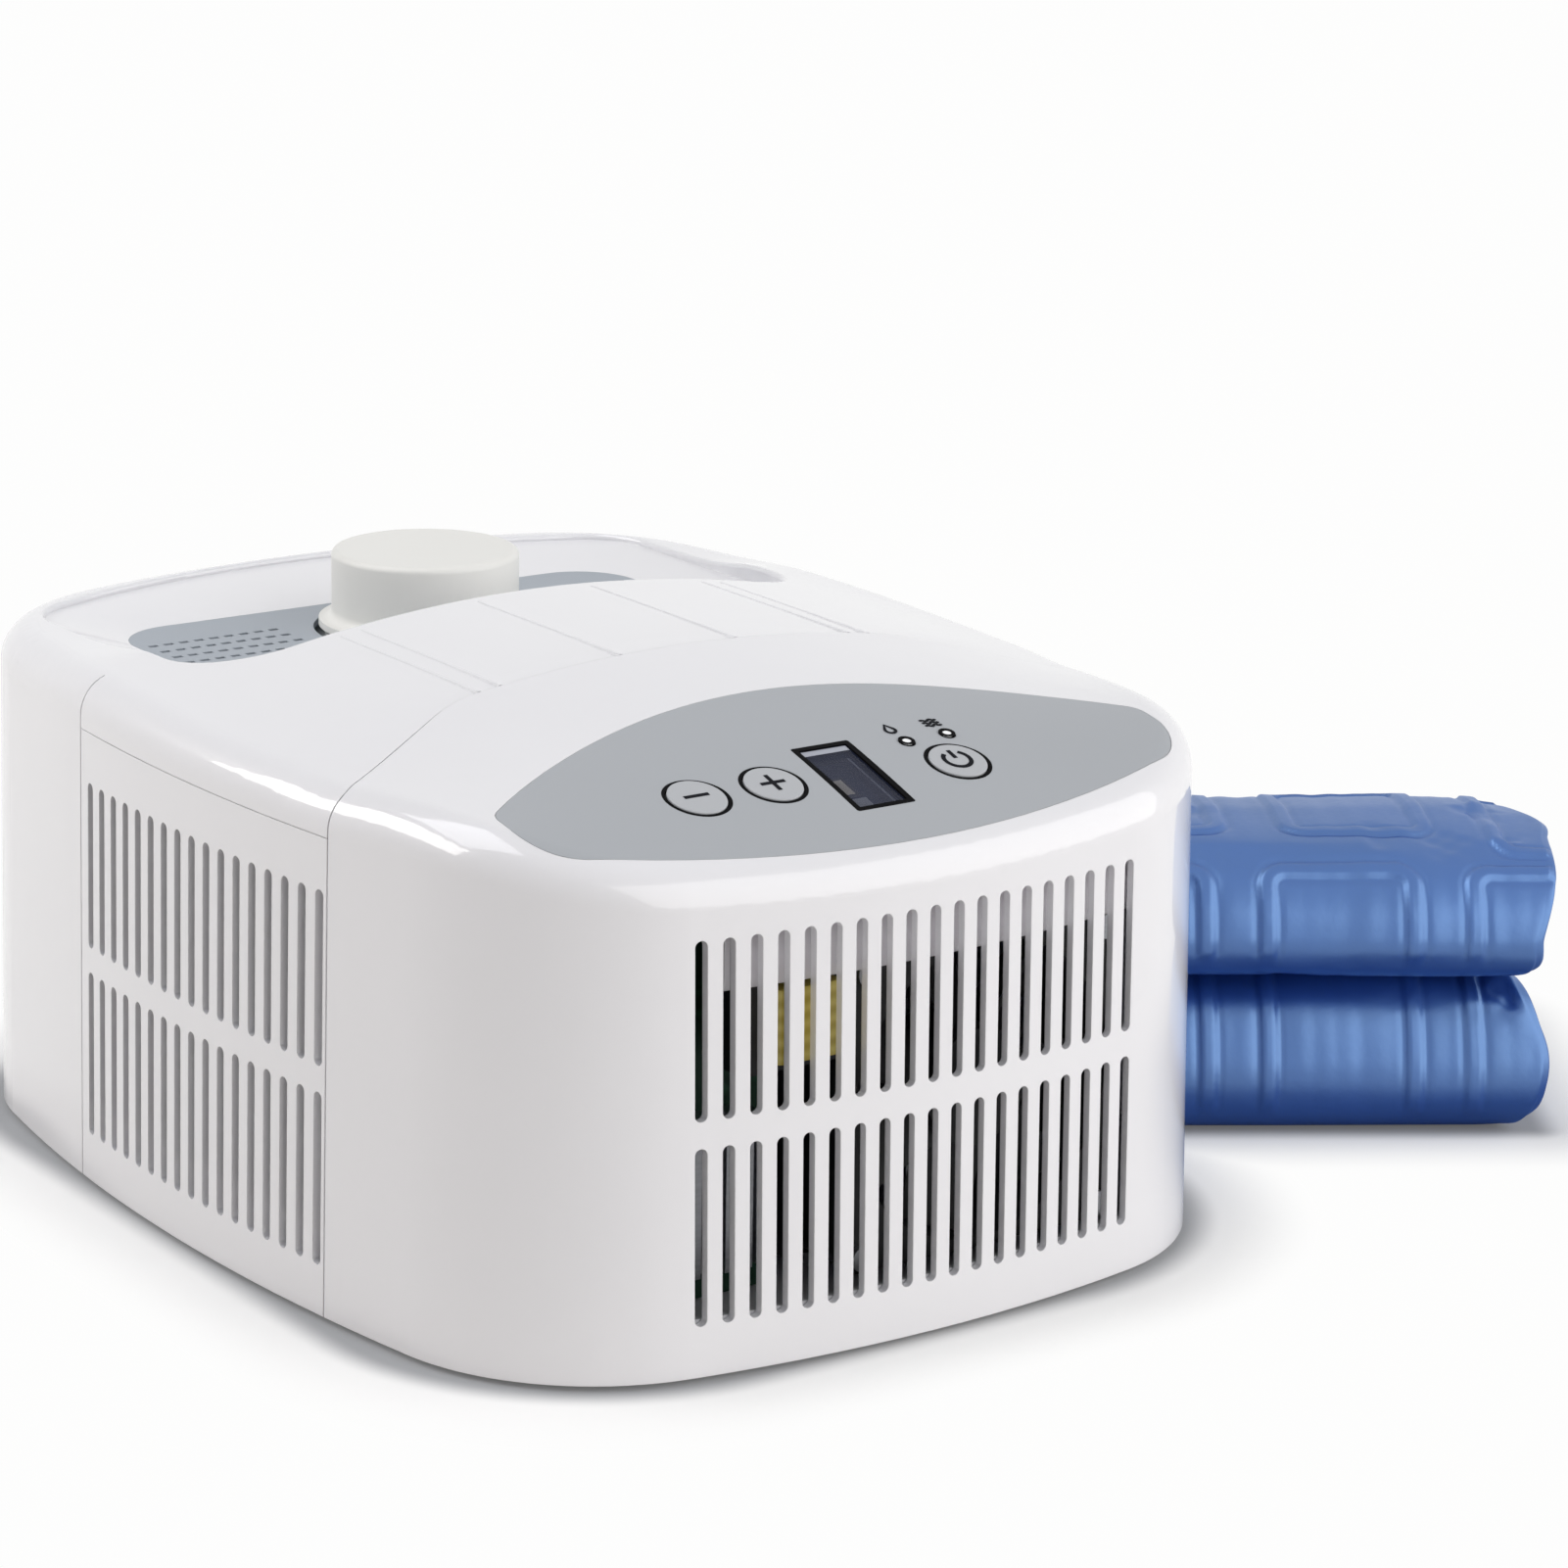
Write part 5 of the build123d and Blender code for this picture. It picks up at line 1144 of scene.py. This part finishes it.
def beyond(paint, middle, half, corner, turn=0.0):
    """How far a point of the floor lies outside a round-cornered rectangle."""
    values = {"Vector": paint.place(), "Center": middle, "Angle": -turn}
    level = paint.node("ShaderNodeVectorRotate", {"rotation_type": "Z_AXIS"}, values)
    steps = (("SUBTRACT", middle), ("ABSOLUTE", None), ("SUBTRACT", half), ("MAXIMUM", (0, 0, 0)))
    for operation, other in steps:
        values = {0: level} if other is None else {0: level, 1: other}
        level = paint.node("ShaderNodeVectorMath", {"operation": operation}, values)
    return paint.node("ShaderNodeVectorMath", {"operation": "LENGTH"}, {0: level}, "Value") - corner


def pale_floor():
    """White floor that keeps the soft shadow at the feet, darkened there by a painted shadow, shows
    painted shade near the pad in reflections and bounces, and turns into plain white further off.
    """
    paint = Paint("pale_floor")
    unit = beyond(paint, (0, 0, 0), UNIT_FOOT, FOOT_CORNER)
    middle = (PAD_CORNER + (PAD_ALONG * PAD_LENGTH + PAD_BACK * PAD_DEPTH) * MM / 2).to_tuple()
    pad = beyond(paint, middle, PAD_FOOT, 0.0, PAD_ANGLE)
    away = unit.join("MINIMUM", pad)
    painted_foot_shadow, white, blue, bounce = (
        paint.node("ShaderNodeBsdfDiffuse", None, {"Color": (*shade, 1)})
        for shade in (PAINTED_FOOT_SHADOW, FLOOR_WHITE, FLOOR_PAINTED_PAD_SHADE, FLOOR_BOUNCE)
    )
    # Painted shadow: the floor darkens towards the feet
    near = paint.mix(paint.ramp(away, 0.0, PAINTED_FOOT_SHADOW_REACH), painted_foot_shadow, white)
    glow = paint.node("ShaderNodeEmission", None, {"Color": (*FLOOR_GLOW, 1), "Strength": 1.0})
    share = LEAST_GLOW + (1 - LEAST_GLOW) * paint.ramp(away, 0.0, SHADOW_REACH)
    shown = paint.mix(share, near, glow)
    # Painted shade: near the pad the floor turns dark blue for reflections and bounces
    clear = paint.ramp(pad, *PAINTED_PAD_SHADE_REACH)
    bounce_or_painted_pad_shade = paint.mix(clear, blue, bounce)
    paint.node_output(paint.mix(paint.looked_at(clear), bounce_or_painted_pad_shade, shown))
    return paint.material


def white_surroundings(scene, all_round, in_front):
    """White world that gives most of its light from in front of the unit."""
    paint = Paint("white_studio", world=True)
    scene.world = paint.material
    ray = paint.node("ShaderNodeTexCoord", output="Generated")
    values = {0: ray, 1: SKY_FRONT}
    facing = paint.node("ShaderNodeVectorMath", {"operation": "DOT_PRODUCT"}, values, "Value")
    shades = []
    for strength in (all_round, in_front, PLAIN_WHITE):
        values = {"Color": (1, 1, 1, 1), "Strength": strength}
        shades.append(paint.node("ShaderNodeBackground", None, values))
    soft = paint.mix(paint.ramp(facing, *SKY_SPREAD), shades[0], shades[1])
    paint.node_output(paint.mix(paint.looked_at(), soft, shades[2]))


# Panel in the sidebar, registration and the run


OPERATORS = (
    WATERPAD_OT_shells,
    WATERPAD_OT_fixings,
    WATERPAD_OT_panel,
    WATERPAD_OT_marks,
    WATERPAD_OT_inside,
    WATERPAD_OT_pad,
    WATERPAD_OT_stage,
)
GROUPS = {
    "waterpad_shells": WATERPAD_PG_shells,
    "waterpad_panel": WATERPAD_PG_panel,
    "waterpad_pad": WATERPAD_PG_pad,
    "waterpad_stage": WATERPAD_PG_stage,
}


class WATERPAD_PT_sidebar(bpy.types.Panel):
    """Lists the sizes, colours and steps of the water pad"""
    bl_idname = "WATERPAD_PT_sidebar"
    bl_label = "Water cooling pad"
    bl_space_type = "VIEW_3D"
    bl_region_type = "UI"
    bl_category = "Water Pad"

    def draw(self, context):
        for name, group in GROUPS.items():
            box = self.layout.box()
            settings = getattr(context.scene, name)
            for key in group.__annotations__:
                box.prop(settings, key)
        for operator in OPERATORS:
            self.layout.operator(operator.bl_idname)


def register():
    for group in GROUPS.values():
        bpy.utils.register_class(group)
    for name, group in GROUPS.items():
        setattr(bpy.types.Scene, name, PointerProperty(type=group))
    for operator in OPERATORS:
        bpy.utils.register_class(operator)
    bpy.utils.register_class(WATERPAD_PT_sidebar)


def unregister():
    bpy.utils.unregister_class(WATERPAD_PT_sidebar)
    for operator in reversed(OPERATORS):
        bpy.utils.unregister_class(operator)
    for name in GROUPS:
        delattr(bpy.types.Scene, name)
    for group in reversed(GROUPS.values()):
        bpy.utils.unregister_class(group)


def main():
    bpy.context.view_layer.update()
    register()
    bpy.ops.waterpad.shells()
    bpy.ops.waterpad.fixings()
    bpy.ops.waterpad.panel()
    bpy.ops.waterpad.marks()
    bpy.ops.waterpad.inside()
    bpy.ops.waterpad.pad()
    bpy.ops.waterpad.stage()


if __name__ == "__main__":
    main()
